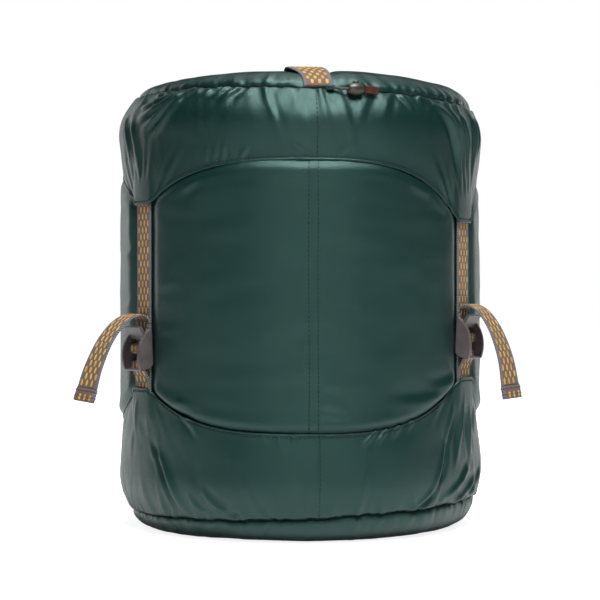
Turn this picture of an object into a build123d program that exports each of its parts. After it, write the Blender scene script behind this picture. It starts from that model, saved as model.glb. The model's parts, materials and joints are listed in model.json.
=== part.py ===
from build123d import *
import math
import os

# Compression sack: a stuffed fabric tube between a lid and a base, which three webbing
# straps pull together through ladder locks. Millimetres. The origin is the middle of the
# flat bottom, +Z is up and the front of the sack faces -Y.

# ---- Driving dimensions -------------------------------------------------------------------
SIDE_R = 131.0  # outside of the lid's and the base's skirts
FLOOR_R = 103.0  # edge of the flat patch that the sack stands on
CROWN_Z = 328.0  # top of the lid, under the handle
CROWN_R = 105.0  # where the crown turns into the shoulder
CROWN_DROP = 10.0
LID_SEAM = (122.0, 307.0)  # radius and height of the seam between disc and skirt
BASE_SEAM = (125.5, 17.0)
SHOULDER_Z = 280.0  # the side is straight between these two heights
HEEL_Z = 42.0
SLANT = 0.7  # share of an inset that goes in, and up or down, at a seam

FABRIC = 0.8
WEBBING = 1.2
WEBBING_WIDTH = 20.0
TUBE_R = 128.2  # outside of the stuffed tube, under the straps
TUBE_INSET = 3.8  # from the outside of the lid in to the tube
CONTENTS_R = 127.0
CONTENTS_INSET = 5.2
CONTENTS_TOP_INSET = 8.0
MOUTH_RING_R = 18.0  # the mouth is gathered round this ring
MOUTH_RING_Z = CROWN_Z - 4.4
HEM_R = 2.9
HEM_BORE_R = 1.6
MOUTH_CORD_R = 1.4
MOUTH_GAP = 0.1
MOUTH_CUT = (20.0, 30.0)  # start below the crown, and height
FLOOR_GAP = 0.4  # between the base's disc and the contents

LID_EDGE_Z = 258.0  # the skirts' edges midway between two straps
BASE_EDGE_Z = 74.0
EAR_HALF_ANGLE = 4.4  # half of an ear's flat end, seen from the axis
ARC_POWER = 3.0  # how sharply an edge turns into an ear
EDGE_STEPS = 6  # points of an edge, from its middle to an ear
SKIRT_SPARE = 5.0  # of a skirt past its longest ear, before its edge is cut
SCALLOP_INSIDE = 40.0  # radius where the cut of an edge starts
EAR_CUT = (30.0, 40.0)  # out and across

# Each strap: its direction from the front, its buckle's pivot height, how far the lid's
# ear reaches down and the base's ear reaches up, and its free tail, out and up from the
# pivot bar, from just above the buckle.
STRAPS = {
    "left": {
        "azimuth": -60.0,
        "pivot_z": 119.0,
        "lid_ear": 27.0,
        "base_ear": 28.0,
        "tail": [(2.15, 31.2), (8.0, 34.6), (19.5, 30.0), (31.0, 17.0), (40.0, -1.0), (44.9, -16.0)],
    },
    "right": {
        "azimuth": 60.0,
        "pivot_z": 127.0,
        "lid_ear": 39.0,
        "base_ear": 35.0,
        "tail": [(2.15, 30.8), (7.5, 33.6), (17.0, 28.5), (26.0, 15.5), (33.0, -3.0), (36.6, -22.5)],
    },
    "back": {
        "azimuth": 180.0,
        "pivot_z": 123.0,
        "lid_ear": 33.0,
        "base_ear": 31.0,
        "tail": [(2.15, 31.0), (7.8, 34.0), (18.0, 29.0), (28.5, 16.0), (36.5, -2.0), (40.8, -19.5)],
    },
}

# Ladder lock, in its strap's plane: out from the tube, and up from the pivot bar
PIVOT_OUT = 3.25
PIVOT_BAR_R = 1.7
LOOP_R = 2.35  # middle of the webbing round the pivot bar
MIDDLE_BAR = (4.3, 11.0)
MIDDLE_BAR_SIZE = (3.0, 4.6)
THUMB_BAR_LOW = (4.8, 18.2)
THUMB_BAR_HIGH = (9.6, 26.4)
THUMB_BAR_THICK = 2.4
RIM_BAR = (9.2, -3.3)
RIM_BAR_R = 1.1
CHEEK_INSIDE = 10.4
CHEEK_THICK = 2.6
CHEEK_CORNER_R = 1.2
CHEEK_ROUND = 0.6
CHEEK_TOP = (1.6, 26.6)
CHEEK_FRONT = (11.2, 12.5)
CHEEK_RIM = (10.2, -4.4)
BAR_IN_CHEEK = 0.5
MIDDLE_BAR_ROUND = 1.2
FOOT_R = 2.75  # the cheek's inner foot turns inside this radius about the pivot
RUN_OUT = 0.9  # middle of the webbing that lies on the tube
RETURN_OUT = 2.15  # middle of the layer on top of it
BUCKLE_TOP = 28.0  # where the webbing leaves the buckle
RUN_GAP = 0.3
LOOP_FALL = (2.5, 9.5)  # below the pivot, where the loop's outer layer turns in and lies flat
LOOP_END = 1.5  # of the outer layer, above the ear's tip
LOOP_BEND_R = 1.0
WRAP_CLEARANCE = 0.05
WRAP_BENDS = [0.9, 1.3, 1.3, 0.9]
UNDER_EAR = 16.0  # length of webbing sewn under an ear
HEM_LENGTH = 9.0
HEM_THICK = 2.6
HEM_ROUND = 1.0

# Handle and drawcord
HANDLE_AZIMUTH = 2.5
HANDLE_WIDTH = 24.0
HANDLE_LIFT = 1.2
HANDLE_END = 2.0  # from the seam in and up to the handle's end
CORD_R = 1.0
CORD_AZIMUTH = 15.0
CORD_RADIUS = 129.6  # from the sack's axis out to the cord lock's middle
CORD_Z = 305.0
# The cord's route: along the seam to the right, out, and up from the cord lock's level
CORD_ROUTE = [(-20.5, -5.5, 1.2), (-12.0, 0.0, 0.0), (4.5, 0.0, 0.0), (12.5, -1.4, -0.4)]
SLEEVE_LENGTH = 5.0
SLEEVE_R = 2.0
SLEEVE_BORE_R = 1.1
LOCK_MIDDLE = -1.8
LOCK_HALF = 5.2
LOCK_R = 4.3
LOCK_END_R = 3.0
LOCK_BORE_R = 1.45
PLUNGER_R = 2.3
PLUNGER_PLAY = 0.05
PLUNGER_LOW = -1.9
PLUNGER_HIGH = 5.2
PLUNGER_TRAVEL = 0.8
PLUNGER_SLOT = 2.6
PLUNGER_ROUND = 0.6
POCKET_LOW = -3.7
SPRING_R = 1.55
SPRING_WIRE_R = 0.17
TAB_LOW = 4.1
TAB_BORE_R = 1.3
TAB_LENGTH = 10.5
TAB_HEIGHT = 5.5
TAB_THICK = 3.4
TAB_TAPER = 1.2
TAB_CORNER_R = 0.9
TAB_OVERLAP = 0.1  # of the bore past the cord's end
BORE_START = 1.0

os.makedirs("parts", exist_ok=True)


# ---- Planes ----------------------------------------------------------------------------------
def outward(azimuth):
    """Unit vector from the axis, turned by azimuth degrees from the front to the right."""
    turn = math.radians(azimuth)
    return Vector(math.sin(turn), -math.cos(turn), 0)


def strap_plane(azimuth, radius, height):
    """Plane through the axis: X is out, Y is up, and its normal runs round the sack."""
    away = outward(azimuth)
    return Plane(
        origin=away * radius + Vector(0, 0, height),
        x_dir=away,
        z_dir=away.cross(Vector(0, 0, 1)),
    )


def save(part, name):
    part.label = name
    export_step(part, f"parts/{name}.step")


# ---- Fabric shells -----------------------------------------------------------------------------
def crown_points(inset):
    """The crown's middle and its edge, inset from the outside of the lid."""
    return (0, CROWN_Z - inset), (CROWN_R, CROWN_Z - CROWN_DROP - inset)


def seam_point(seam, inset, up):
    """A seam's radius and height, inset square to the rounded edge that it runs along."""
    return (seam[0] - SLANT * inset, seam[1] - up * SLANT * inset)


def crown_line(inset):
    """The top's outline from the axis to the seam; call it inside a BuildLine."""
    middle, edge = crown_points(inset)
    drop = CROWN_DROP / 4
    crown = ThreePointArc(middle, (CROWN_R / 2, middle[1] - drop), edge)
    TangentArc(edge, seam_point(LID_SEAM, inset, 1), tangent=crown % 1)


def shoulder_line(inset, radius, low):
    """The side's outline from the lid's seam down to a height."""
    seam = seam_point(LID_SEAM, inset, 1)
    TangentArc((radius, SHOULDER_Z), seam, tangent=(0, 1))
    Line((radius, SHOULDER_Z), (radius, low))


def heel_line(inset, radius, high):
    """The side's outline from the base's seam up to a height."""
    seam = seam_point(BASE_SEAM, inset, -1)
    TangentArc((radius, HEEL_Z), seam, tangent=(0, -1))
    Line((radius, HEEL_Z), (radius, high))


def floor_line(inset):
    """The bottom's outline from the axis to the base's seam."""
    Line((0, inset), (FLOOR_R, inset))
    TangentArc((FLOOR_R, inset), seam_point(BASE_SEAM, inset, -1), tangent=(1, 0))


def edge_height(angle, straps, middle, key, sign):
    """Height of a skirt's edge at an angle between two straps, which sets its two ears."""
    side = straps[0] if angle < 0 else straps[1]
    share = (60.0 - abs(angle) - EAR_HALF_ANGLE) / (60.0 - EAR_HALF_ANGLE)
    return middle + sign * STRAPS[side][key] * (1 - max(share, 0.0)) ** ARC_POWER


def scallop(azimuth, straps, middle, key, sign, far):
    """Solid that cuts one arc of a skirt's edge, between two neighbouring ears."""
    plane = strap_plane(azimuth, 0, 0)
    wall = Plane(origin=(0, 0, 0), x_dir=-plane.z_dir, z_dir=plane.x_dir)
    span = 60.0 - EAR_HALF_ANGLE
    steps = [span * k / EDGE_STEPS for k in range(-EDGE_STEPS, EDGE_STEPS + 1)]
    edge = [
        (SIDE_R * math.sin(math.radians(a)), edge_height(a, straps, middle, key, sign))
        for a in steps
    ]
    with BuildPart(mode=Mode.PRIVATE) as cutter:
        with BuildSketch(wall.offset(SCALLOP_INSIDE)):
            with BuildLine():
                Spline(*edge)
                Polyline(edge[-1], (edge[-1][0], far), (edge[0][0], far), edge[0])
            make_face()
        extrude(amount=SIDE_R)
    return cutter.part


GAPS = [(0.0, ("left", "right")), (120.0, ("right", "back")), (240.0, ("back", "left"))]


def skirt_limits(middle, key, sign):
    """Height where a skirt's shell ends before its edge is cut."""
    return middle + sign * (max(strap[key] for strap in STRAPS.values()) + SKIRT_SPARE)


with BuildPart() as base_disc:
    with BuildSketch(Plane.XZ):
        with BuildLine():
            floor_line(0)
            floor_line(FABRIC)
            Line((0, 0), (0, FABRIC))
            Line(seam_point(BASE_SEAM, 0, -1), seam_point(BASE_SEAM, FABRIC, -1))
        make_face()
    revolve(axis=Axis.Z)
save(base_disc.part, "base_disc")

base_top = skirt_limits(BASE_EDGE_Z, "base_ear", 1)
with BuildPart() as base_skirt:
    with BuildSketch(Plane.XZ):
        with BuildLine():
            heel_line(0, SIDE_R, base_top)
            heel_line(FABRIC, SIDE_R - FABRIC, base_top)
            Line((SIDE_R, base_top), (SIDE_R - FABRIC, base_top))
            Line(seam_point(BASE_SEAM, 0, -1), seam_point(BASE_SEAM, FABRIC, -1))
        make_face()
    revolve(axis=Axis.Z)
    for azimuth, pair in GAPS:
        add(scallop(azimuth, pair, BASE_EDGE_Z, "base_ear", 1, base_top + 1), mode=Mode.SUBTRACT)
    for strap in STRAPS.values():
        ear_top = BASE_EDGE_Z + strap["base_ear"]
        with BuildSketch(Plane.XY.offset(ear_top)):
            with PolarLocations(SIDE_R, 1, start_angle=strap["azimuth"] - 90):
                Rectangle(*EAR_CUT)
        extrude(amount=base_top, mode=Mode.SUBTRACT)
save(base_skirt.part, "base_skirt")

with BuildPart() as lid_disc:
    with BuildSketch(Plane.XZ):
        with BuildLine():
            crown_line(0)
            crown_line(FABRIC)
            Line((0, CROWN_Z), (0, CROWN_Z - FABRIC))
            Line(seam_point(LID_SEAM, 0, 1), seam_point(LID_SEAM, FABRIC, 1))
        make_face()
    revolve(axis=Axis.Z)
save(lid_disc.part, "lid_disc")

lid_low = skirt_limits(LID_EDGE_Z, "lid_ear", -1)
with BuildPart() as lid_skirt:
    with BuildSketch(Plane.XZ):
        with BuildLine():
            shoulder_line(0, SIDE_R, lid_low)
            shoulder_line(FABRIC, SIDE_R - FABRIC, lid_low)
            Line((SIDE_R, lid_low), (SIDE_R - FABRIC, lid_low))
            Line(seam_point(LID_SEAM, 0, 1), seam_point(LID_SEAM, FABRIC, 1))
        make_face()
    revolve(axis=Axis.Z)
    for azimuth, pair in GAPS:
        add(scallop(azimuth, pair, LID_EDGE_Z, "lid_ear", -1, lid_low - 1), mode=Mode.SUBTRACT)
    for strap in STRAPS.values():
        ear_low = LID_EDGE_Z - strap["lid_ear"]
        with BuildSketch(Plane.XY.offset(lid_low - 1)):
            with PolarLocations(SIDE_R, 1, start_angle=strap["azimuth"] - 90):
                Rectangle(*EAR_CUT)
        extrude(amount=ear_low - lid_low + 1, mode=Mode.SUBTRACT)
save(lid_skirt.part, "lid_skirt")

# The tube of the sack itself, from the base's seam to the shoulder
tube_inner = TUBE_INSET + FABRIC
with BuildPart() as sack_tube:
    with BuildSketch(Plane.XZ):
        with BuildLine():
            heel_line(TUBE_INSET, TUBE_R, SHOULDER_Z)
            heel_line(tube_inner, TUBE_R - FABRIC, SHOULDER_Z)
            TangentArc((TUBE_R, SHOULDER_Z), seam_point(LID_SEAM, TUBE_INSET, 1), tangent=(0, 1))
            TangentArc(
                (TUBE_R - FABRIC, SHOULDER_Z), seam_point(LID_SEAM, tube_inner, 1), tangent=(0, 1)
            )
            Line(seam_point(LID_SEAM, TUBE_INSET, 1), seam_point(LID_SEAM, tube_inner, 1))
            Line(seam_point(BASE_SEAM, TUBE_INSET, -1), seam_point(BASE_SEAM, tube_inner, -1))
        make_face()
    revolve(axis=Axis.Z)
save(sack_tube.part, "sack_tube")

# The gathered top of the sack, with its round mouth, under the lid
with BuildPart() as sack_mouth:
    with BuildSketch(Plane.XZ):
        with BuildLine():
            crown_line(TUBE_INSET)
            crown_line(tube_inner)
            Line((0, CROWN_Z - TUBE_INSET), (0, CROWN_Z - tube_inner))
            Line(seam_point(LID_SEAM, TUBE_INSET, 1), seam_point(LID_SEAM, tube_inner, 1))
        make_face()
    revolve(axis=Axis.Z)
    with BuildSketch(Plane.XY.offset(CROWN_Z - MOUTH_CUT[0])):
        Circle(MOUTH_RING_R + HEM_R + MOUTH_GAP)
    extrude(amount=MOUTH_CUT[1], mode=Mode.SUBTRACT)
save(sack_mouth.part, "sack_mouth")

with BuildPart() as mouth_hem:
    with BuildSketch(Plane.XZ):
        with Locations((MOUTH_RING_R, MOUTH_RING_Z)):
            Circle(HEM_R)
            Circle(HEM_BORE_R, mode=Mode.SUBTRACT)
    revolve(axis=Axis.Z)
save(mouth_hem.part, "mouth_hem")

with BuildPart() as mouth_drawcord:
    with BuildSketch(Plane.XZ):
        with Locations((MOUTH_RING_R, MOUTH_RING_Z)):
            Circle(MOUTH_CORD_R)
    revolve(axis=Axis.Z)
save(mouth_drawcord.part, "mouth_drawcord")

# What the sack is stuffed with: one soft block that fills the tube
floor_gap = FABRIC + FLOOR_GAP
with BuildPart() as packed_contents:
    with BuildSketch(Plane.XZ):
        with BuildLine():
            middle, edge = crown_points(CONTENTS_TOP_INSET)
            seam = seam_point(LID_SEAM, CONTENTS_INSET, 1)
            low_seam = seam_point(BASE_SEAM, CONTENTS_INSET, -1)
            Line((0, floor_gap), middle)
            crown = ThreePointArc(middle, (CROWN_R / 2, middle[1] - CROWN_DROP / 4), edge)
            TangentArc(edge, seam, tangent=crown % 1)
            TangentArc((CONTENTS_R, SHOULDER_Z), seam, tangent=(0, 1))
            Line((CONTENTS_R, SHOULDER_Z), (CONTENTS_R, HEEL_Z))
            TangentArc((CONTENTS_R, HEEL_Z), low_seam, tangent=(0, -1))
            TangentArc((FLOOR_R, floor_gap), low_seam, tangent=(1, 0))
            Line((0, floor_gap), (FLOOR_R, floor_gap))
        make_face()
    revolve(axis=Axis.Z)
save(packed_contents.part, "packed_contents")


# ---- Straps and ladder locks ---------------------------------------------------------------------
def make_buckle_loop(name, strap, plane):
    """Webbing sewn under the base's ear and folded round the pivot bar."""
    ear_top = BASE_EDGE_Z + strap["base_ear"] - strap["pivot_z"]
    right_side = PIVOT_OUT + LOOP_R
    with BuildPart() as buckle_loop:
        with BuildSketch(plane):
            with BuildLine() as route:
                Line((RUN_OUT, ear_top - UNDER_EAR), (RUN_OUT, 0))
                ThreePointArc((RUN_OUT, 0), (PIVOT_OUT, LOOP_R), (right_side, 0))
                FilletPolyline(
                    (right_side, 0),
                    (right_side, -LOOP_FALL[0]),
                    (RETURN_OUT, -LOOP_FALL[1]),
                    (RETURN_OUT, ear_top + LOOP_END),
                    radius=LOOP_BEND_R,
                )
            trace(route.line, WEBBING)
        extrude(amount=WEBBING_WIDTH / 2, both=True)
    save(buckle_loop.part, f"buckle_loop_{name}")


def cheek_outline():
    """Outline of a ladder lock's cheek; call it inside a BuildLine."""
    back = Line((PIVOT_OUT - FOOT_R, 0), CHEEK_TOP)
    front = ThreePointArc(back @ 1, CHEEK_FRONT, CHEEK_RIM)
    Polyline(front @ 1, (PIVOT_OUT, -FOOT_R), back @ 0)


def make_ladder_lock(name, plane):
    """Two D-shaped cheeks joined by the pivot bar, middle bar, thumb bar and lower rim."""
    bar_half = CHEEK_INSIDE + BAR_IN_CHEEK
    with BuildPart() as ladder_lock:
        for side in (-1, 1):
            with BuildSketch(plane.offset(side * CHEEK_INSIDE)) as cheek:
                with BuildLine():
                    cheek_outline()
                make_face()
                fillet(cheek.vertices(), CHEEK_CORNER_R)
            extrude(amount=side * CHEEK_THICK)
        outside = CHEEK_INSIDE + CHEEK_THICK
        outer_edges = [
            edge
            for edge in ladder_lock.edges()
            if abs(abs(plane.to_local_coords(edge.center()).Z) - outside) < 0.01
        ]
        fillet(outer_edges, CHEEK_ROUND)
        with BuildSketch(plane):
            with Locations((PIVOT_OUT, 0)):
                Circle(PIVOT_BAR_R)
            with Locations(MIDDLE_BAR):
                RectangleRounded(*MIDDLE_BAR_SIZE, MIDDLE_BAR_ROUND)
            with Locations(RIM_BAR):
                Circle(RIM_BAR_R)
            with BuildLine(mode=Mode.PRIVATE) as thumb:
                Line(THUMB_BAR_LOW, THUMB_BAR_HIGH)
            trace(thumb.line, THUMB_BAR_THICK)
        extrude(amount=bar_half, both=True)
    save(ladder_lock.part, f"ladder_lock_{name}")


def make_strap_wrap(name, plane):
    """The webbing's way through the buckle: down behind it, round the middle bar and up."""
    half = WEBBING / 2 + WRAP_CLEARANCE
    low = MIDDLE_BAR[1] - MIDDLE_BAR_SIZE[1] / 2 - half
    high = MIDDLE_BAR[1] + MIDDLE_BAR_SIZE[1] / 2 + half
    out = MIDDLE_BAR[0] + MIDDLE_BAR_SIZE[0] / 2 + half
    with BuildPart() as strap_wrap:
        with BuildSketch(plane):
            with BuildLine() as route:
                FilletPolyline(
                    (RUN_OUT, BUCKLE_TOP),
                    (RUN_OUT, low),
                    (out, low),
                    (out, high),
                    (RETURN_OUT, high),
                    (RETURN_OUT, BUCKLE_TOP),
                    radius=WRAP_BENDS,
                )
            trace(route.line, WEBBING)
        extrude(amount=WEBBING_WIDTH / 2, both=True)
    save(strap_wrap.part, f"strap_wrap_{name}")


def make_strap_run(name, strap, plane):
    """The tight stretch from under the lid's ear down to the buckle."""
    low = BUCKLE_TOP + RUN_GAP
    high = LID_EDGE_Z - strap["lid_ear"] + UNDER_EAR - strap["pivot_z"]
    with BuildPart() as strap_run:
        with BuildSketch(plane):
            with Locations((RUN_OUT, (low + high) / 2)):
                Rectangle(WEBBING, high - low)
        extrude(amount=WEBBING_WIDTH / 2, both=True)
    save(strap_run.part, f"strap_run_{name}")


def corner_radii(points):
    """The largest radius at each corner that the shorter of its two runs allows."""
    radii = []
    for before, here, after in zip(points, points[1:], points[2:]):
        arriving = Vector(*here) - Vector(*before)
        leaving = Vector(*after) - Vector(*here)
        turn = math.radians(arriving.get_angle(leaving))
        shorter = min(arriving.length, leaving.length)
        radii.append(0.45 * shorter / math.tan(turn / 2))
    return radii


def make_strap_tail(name, strap, plane):
    """The free tail: an arch over the thumb bar, falling to its folded hem."""
    points = [(RETURN_OUT, BUCKLE_TOP)] + strap["tail"]
    with BuildPart() as strap_tail:
        with BuildSketch(plane):
            with BuildLine() as route:
                FilletPolyline(*points, radius=corner_radii(points))
            trace(route.line, WEBBING)
        extrude(amount=WEBBING_WIDTH / 2, both=True)
    save(strap_tail.part, f"strap_tail_{name}")
    fall = (Vector(*points[-1]) - Vector(*points[-2])).normalized()
    start = Vector(*points[-1]) + fall * RUN_GAP
    end = start + fall * HEM_LENGTH
    with BuildPart() as strap_hem:
        with BuildSketch(plane):
            with BuildLine(mode=Mode.PRIVATE) as fold:
                Line(start, end)
            trace(fold.line, HEM_THICK)
        extrude(amount=WEBBING_WIDTH / 2, both=True)
        long_edges = strap_hem.edges().filter_by(Axis(plane.origin, plane.z_dir))
        fillet(long_edges.sort_by(Axis.Z)[:2], HEM_ROUND)
    save(strap_hem.part, f"strap_hem_{name}")
    length = route.wire().length
    print(f"strap {name}: tail {length + HEM_LENGTH:.1f} long, hem falls along {tuple(fall)[:2]}")


for strap_name, strap in STRAPS.items():
    plane = strap_plane(strap["azimuth"], TUBE_R, strap["pivot_z"])
    make_buckle_loop(strap_name, strap, plane)
    make_ladder_lock(strap_name, plane)
    make_strap_wrap(strap_name, plane)
    make_strap_run(strap_name, strap, plane)
    make_strap_tail(strap_name, strap, plane)

# ---- Grab handle --------------------------------------------------------------------------------
handle_side = strap_plane(HANDLE_AZIMUTH, 0, 0)
with BuildPart() as grab_handle:
    with BuildSketch(handle_side):
        with BuildLine():
            outlines = []
            for lift in (HANDLE_LIFT, HANDLE_LIFT + WEBBING):
                top = CROWN_Z + lift
                side = (CROWN_R, top - CROWN_DROP)
                crown = ThreePointArc((-side[0], side[1]), (0, top), side)
                rise = SLANT * lift
                end = (LID_SEAM[0] - HANDLE_END + rise, LID_SEAM[1] + HANDLE_END + rise)
                TangentArc(side, end, tangent=crown % 1)
                TangentArc((-side[0], side[1]), (-end[0], end[1]), tangent=-(crown % 0))
                outlines.append(end)
            Line(outlines[0], outlines[1])
            Line((-outlines[0][0], outlines[0][1]), (-outlines[1][0], outlines[1][1]))
        make_face()
    extrude(amount=HANDLE_WIDTH / 2, both=True)
save(grab_handle.part, "grab_handle")

# ---- Drawcord, cord lock and tab ------------------------------------------------------------------
cord_side = strap_plane(CORD_AZIMUTH, CORD_RADIUS, CORD_Z)
along = -cord_side.z_dir  # to the right, round the sack


def cord_point(step):
    """A point of the cord from its distances along, out and up."""
    return cord_side.origin + along * step[0] + cord_side.x_dir * step[1] + Vector(0, 0, step[2])


cord_points = [cord_point(step) for step in CORD_ROUTE]
cord_radii = []
for before, here, after in zip(cord_points, cord_points[1:], cord_points[2:]):
    turn = math.radians((here - before).get_angle(after - here))
    shorter = min((here - before).length, (after - here).length)
    cord_radii.append(0.45 * shorter / math.tan(turn / 2))
first_run = (cord_points[1] - cord_points[0]).normalized()
with BuildPart() as drawcord:
    with BuildLine() as cord_path:
        FilletPolyline(*cord_points, radius=cord_radii)
    with BuildSketch(Plane(origin=cord_points[0], z_dir=first_run)):
        Circle(CORD_R)
    sweep(path=cord_path.wire())
save(drawcord.part, "drawcord")
cord_length = cord_path.wire().length
cord_volume = math.pi * CORD_R**2 * cord_length
print("cord radii", [round(radius, 1) for radius in cord_radii])
print(f"cord length {cord_length:.2f}, volume {drawcord.part.volume:.2f} of {cord_volume:.2f}")

with BuildPart() as drawcord_sleeve:
    with BuildSketch(Plane(origin=cord_points[0], z_dir=first_run)):
        Circle(SLEEVE_R)
        Circle(SLEEVE_BORE_R, mode=Mode.SUBTRACT)
    extrude(amount=SLEEVE_LENGTH)
save(drawcord_sleeve.part, "drawcord_sleeve")

# The cord lock's own planes: its long axis lies along the cord and its button points up
lock_middle = cord_point((LOCK_MIDDLE, 0, 0))
lock_front = Plane(origin=lock_middle, x_dir=along, z_dir=along.cross(Vector(0, 0, 1)))
lock_top = Plane(origin=lock_middle, x_dir=along, z_dir=(0, 0, 1))
lock_end = Plane(origin=lock_middle, x_dir=(0, 0, 1), z_dir=along)

with BuildPart() as cord_lock_barrel:
    with BuildSketch(lock_front):
        with BuildLine():
            ThreePointArc((-LOCK_HALF, LOCK_END_R), (0, LOCK_R), (LOCK_HALF, LOCK_END_R))
            Polyline(
                (LOCK_HALF, LOCK_END_R), (LOCK_HALF, 0), (-LOCK_HALF, 0), (-LOCK_HALF, LOCK_END_R)
            )
        make_face()
    revolve(axis=Axis(lock_middle, along))
    with BuildSketch(lock_end.offset(-LOCK_HALF - BORE_START)):
        Circle(LOCK_BORE_R)
    extrude(amount=2 * (LOCK_HALF + BORE_START), mode=Mode.SUBTRACT)
    with BuildSketch(lock_top.offset(POCKET_LOW)):
        Circle(PLUNGER_R + PLUNGER_PLAY)
    extrude(amount=2 * LOCK_R, mode=Mode.SUBTRACT)
save(cord_lock_barrel.part, "cord_lock_barrel")

with BuildPart() as cord_lock_plunger:
    with BuildSketch(lock_top.offset(PLUNGER_LOW)):
        Circle(PLUNGER_R)
    extrude(amount=PLUNGER_HIGH - PLUNGER_LOW)
    slot_middle = PLUNGER_TRAVEL / 2
    with BuildSketch(lock_end.offset(-2 * PLUNGER_R)):
        with Locations((slot_middle, 0)):
            Rectangle(PLUNGER_SLOT + PLUNGER_TRAVEL, PLUNGER_SLOT)
    extrude(amount=4 * PLUNGER_R, mode=Mode.SUBTRACT)
    fillet(cord_lock_plunger.faces().sort_by(Axis.Z)[-1].edges(), PLUNGER_ROUND)
save(cord_lock_plunger.part, "cord_lock_plunger")

spring_low = POCKET_LOW + SPRING_WIRE_R
spring_height = PLUNGER_LOW - POCKET_LOW - 2 * SPRING_WIRE_R
spring_centre = lock_middle + Vector(0, 0, spring_low)
with BuildPart() as cord_lock_spring:
    with BuildLine() as coil:
        Helix(pitch=spring_height / 3, height=spring_height, radius=SPRING_R, center=spring_centre)
    with BuildSketch(Plane(origin=coil.line @ 0, z_dir=coil.line % 0)):
        Circle(SPRING_WIRE_R)
    sweep(path=coil.wire())
save(cord_lock_spring.part, "cord_lock_spring")

# The tab sewn on the cord's end
tab_run = (cord_points[3] - cord_points[2]).normalized()
tab_start = cord_points[3] - tab_run * (CORD_ROUTE[3][0] - TAB_LOW + TAB_OVERLAP)
tab_plane = Plane(origin=tab_start, x_dir=(0, 0, 1), z_dir=tab_run)
with BuildPart() as cord_tab:
    with BuildSketch(tab_plane):
        RectangleRounded(TAB_HEIGHT - TAB_TAPER, TAB_THICK, TAB_CORNER_R)
    with BuildSketch(tab_plane.offset(TAB_LENGTH)):
        RectangleRounded(TAB_HEIGHT, TAB_THICK - TAB_TAPER, TAB_CORNER_R)
    loft()
    with BuildSketch(tab_plane.offset(-BORE_START)):
        Circle(TAB_BORE_R)
    extrude(amount=(cord_points[3] - tab_start).length + BORE_START, mode=Mode.SUBTRACT)
save(cord_tab.part, "cord_tab")
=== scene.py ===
import json
import math

import bpy
import numpy as np
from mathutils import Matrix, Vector, noise


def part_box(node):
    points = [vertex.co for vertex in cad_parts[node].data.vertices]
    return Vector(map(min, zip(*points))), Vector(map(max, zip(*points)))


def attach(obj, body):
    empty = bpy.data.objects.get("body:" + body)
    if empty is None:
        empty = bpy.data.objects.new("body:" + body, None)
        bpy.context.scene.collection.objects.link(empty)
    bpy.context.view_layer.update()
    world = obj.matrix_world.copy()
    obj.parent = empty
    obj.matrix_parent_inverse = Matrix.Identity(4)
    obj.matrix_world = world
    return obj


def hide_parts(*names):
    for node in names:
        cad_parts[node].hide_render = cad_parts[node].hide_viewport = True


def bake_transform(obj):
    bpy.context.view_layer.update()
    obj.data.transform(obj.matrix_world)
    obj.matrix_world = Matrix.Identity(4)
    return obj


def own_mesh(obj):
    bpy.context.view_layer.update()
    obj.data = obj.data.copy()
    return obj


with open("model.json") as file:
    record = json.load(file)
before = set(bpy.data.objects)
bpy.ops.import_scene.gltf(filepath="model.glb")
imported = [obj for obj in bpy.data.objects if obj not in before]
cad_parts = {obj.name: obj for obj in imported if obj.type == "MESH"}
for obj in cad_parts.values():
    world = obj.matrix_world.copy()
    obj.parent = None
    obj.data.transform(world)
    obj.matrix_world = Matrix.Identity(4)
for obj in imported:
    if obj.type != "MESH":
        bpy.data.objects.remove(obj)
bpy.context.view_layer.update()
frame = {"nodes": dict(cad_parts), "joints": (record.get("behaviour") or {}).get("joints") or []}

SIDES = ("left", "right", "back")
UP = Vector((0, 0, 1))
JOINTS = {joint["name"]: joint for joint in frame["joints"]}
RANDOM = np.random.default_rng(7)

# ---- Sizes read from the frame, in metres ----
LID_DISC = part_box("lid_disc")
LID_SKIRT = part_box("lid_skirt")
BASE_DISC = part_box("base_disc")
BASE_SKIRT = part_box("base_skirt")
SIDE_R = LID_SKIRT[1].x
CROWN_Z = LID_DISC[1].z
LID_SEAM = (LID_DISC[1].x, LID_SKIRT[1].z)
BASE_SEAM = (BASE_DISC[1].x, BASE_SKIRT[0].z)
TUBE_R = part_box("sack_tube")[1].x
WEBBING = 0.0012  # its thickness
WEBBING_WIDTH = 0.020

# ---- Shape of the covers, as in the CAD ----
FLOOR_R = 0.103
CROWN_R = 0.105
CROWN_DROP = 0.010
SHOULDER_Z = 0.280
HEEL_Z = 0.042
LID_EDGE_Z = 0.258
BASE_EDGE_Z = 0.074
EAR_HALF_ANGLE = 4.4
EDGE_POWER = 3.0
SIDE_MIDDLE_Z = 0.166
COVER_GAP = 0.0009  # from the tube out to a cover's cloth
AZIMUTH = {"left": -60.0, "right": 60.0, "back": 180.0}
UNDER_EAR = 0.016  # length of webbing sewn under an ear
UNDER_EAR_RISE = {"lid": 0.0023, "base": 0.0034}  # one or two layers of webbing
EARS = {  # heights of the ears' tips
    "lid": {side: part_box(f"strap_run_{side}")[1].z - UNDER_EAR for side in SIDES},
    "base": {side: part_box(f"buckle_loop_{side}")[0].z + UNDER_EAR for side in SIDES},
}

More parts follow.
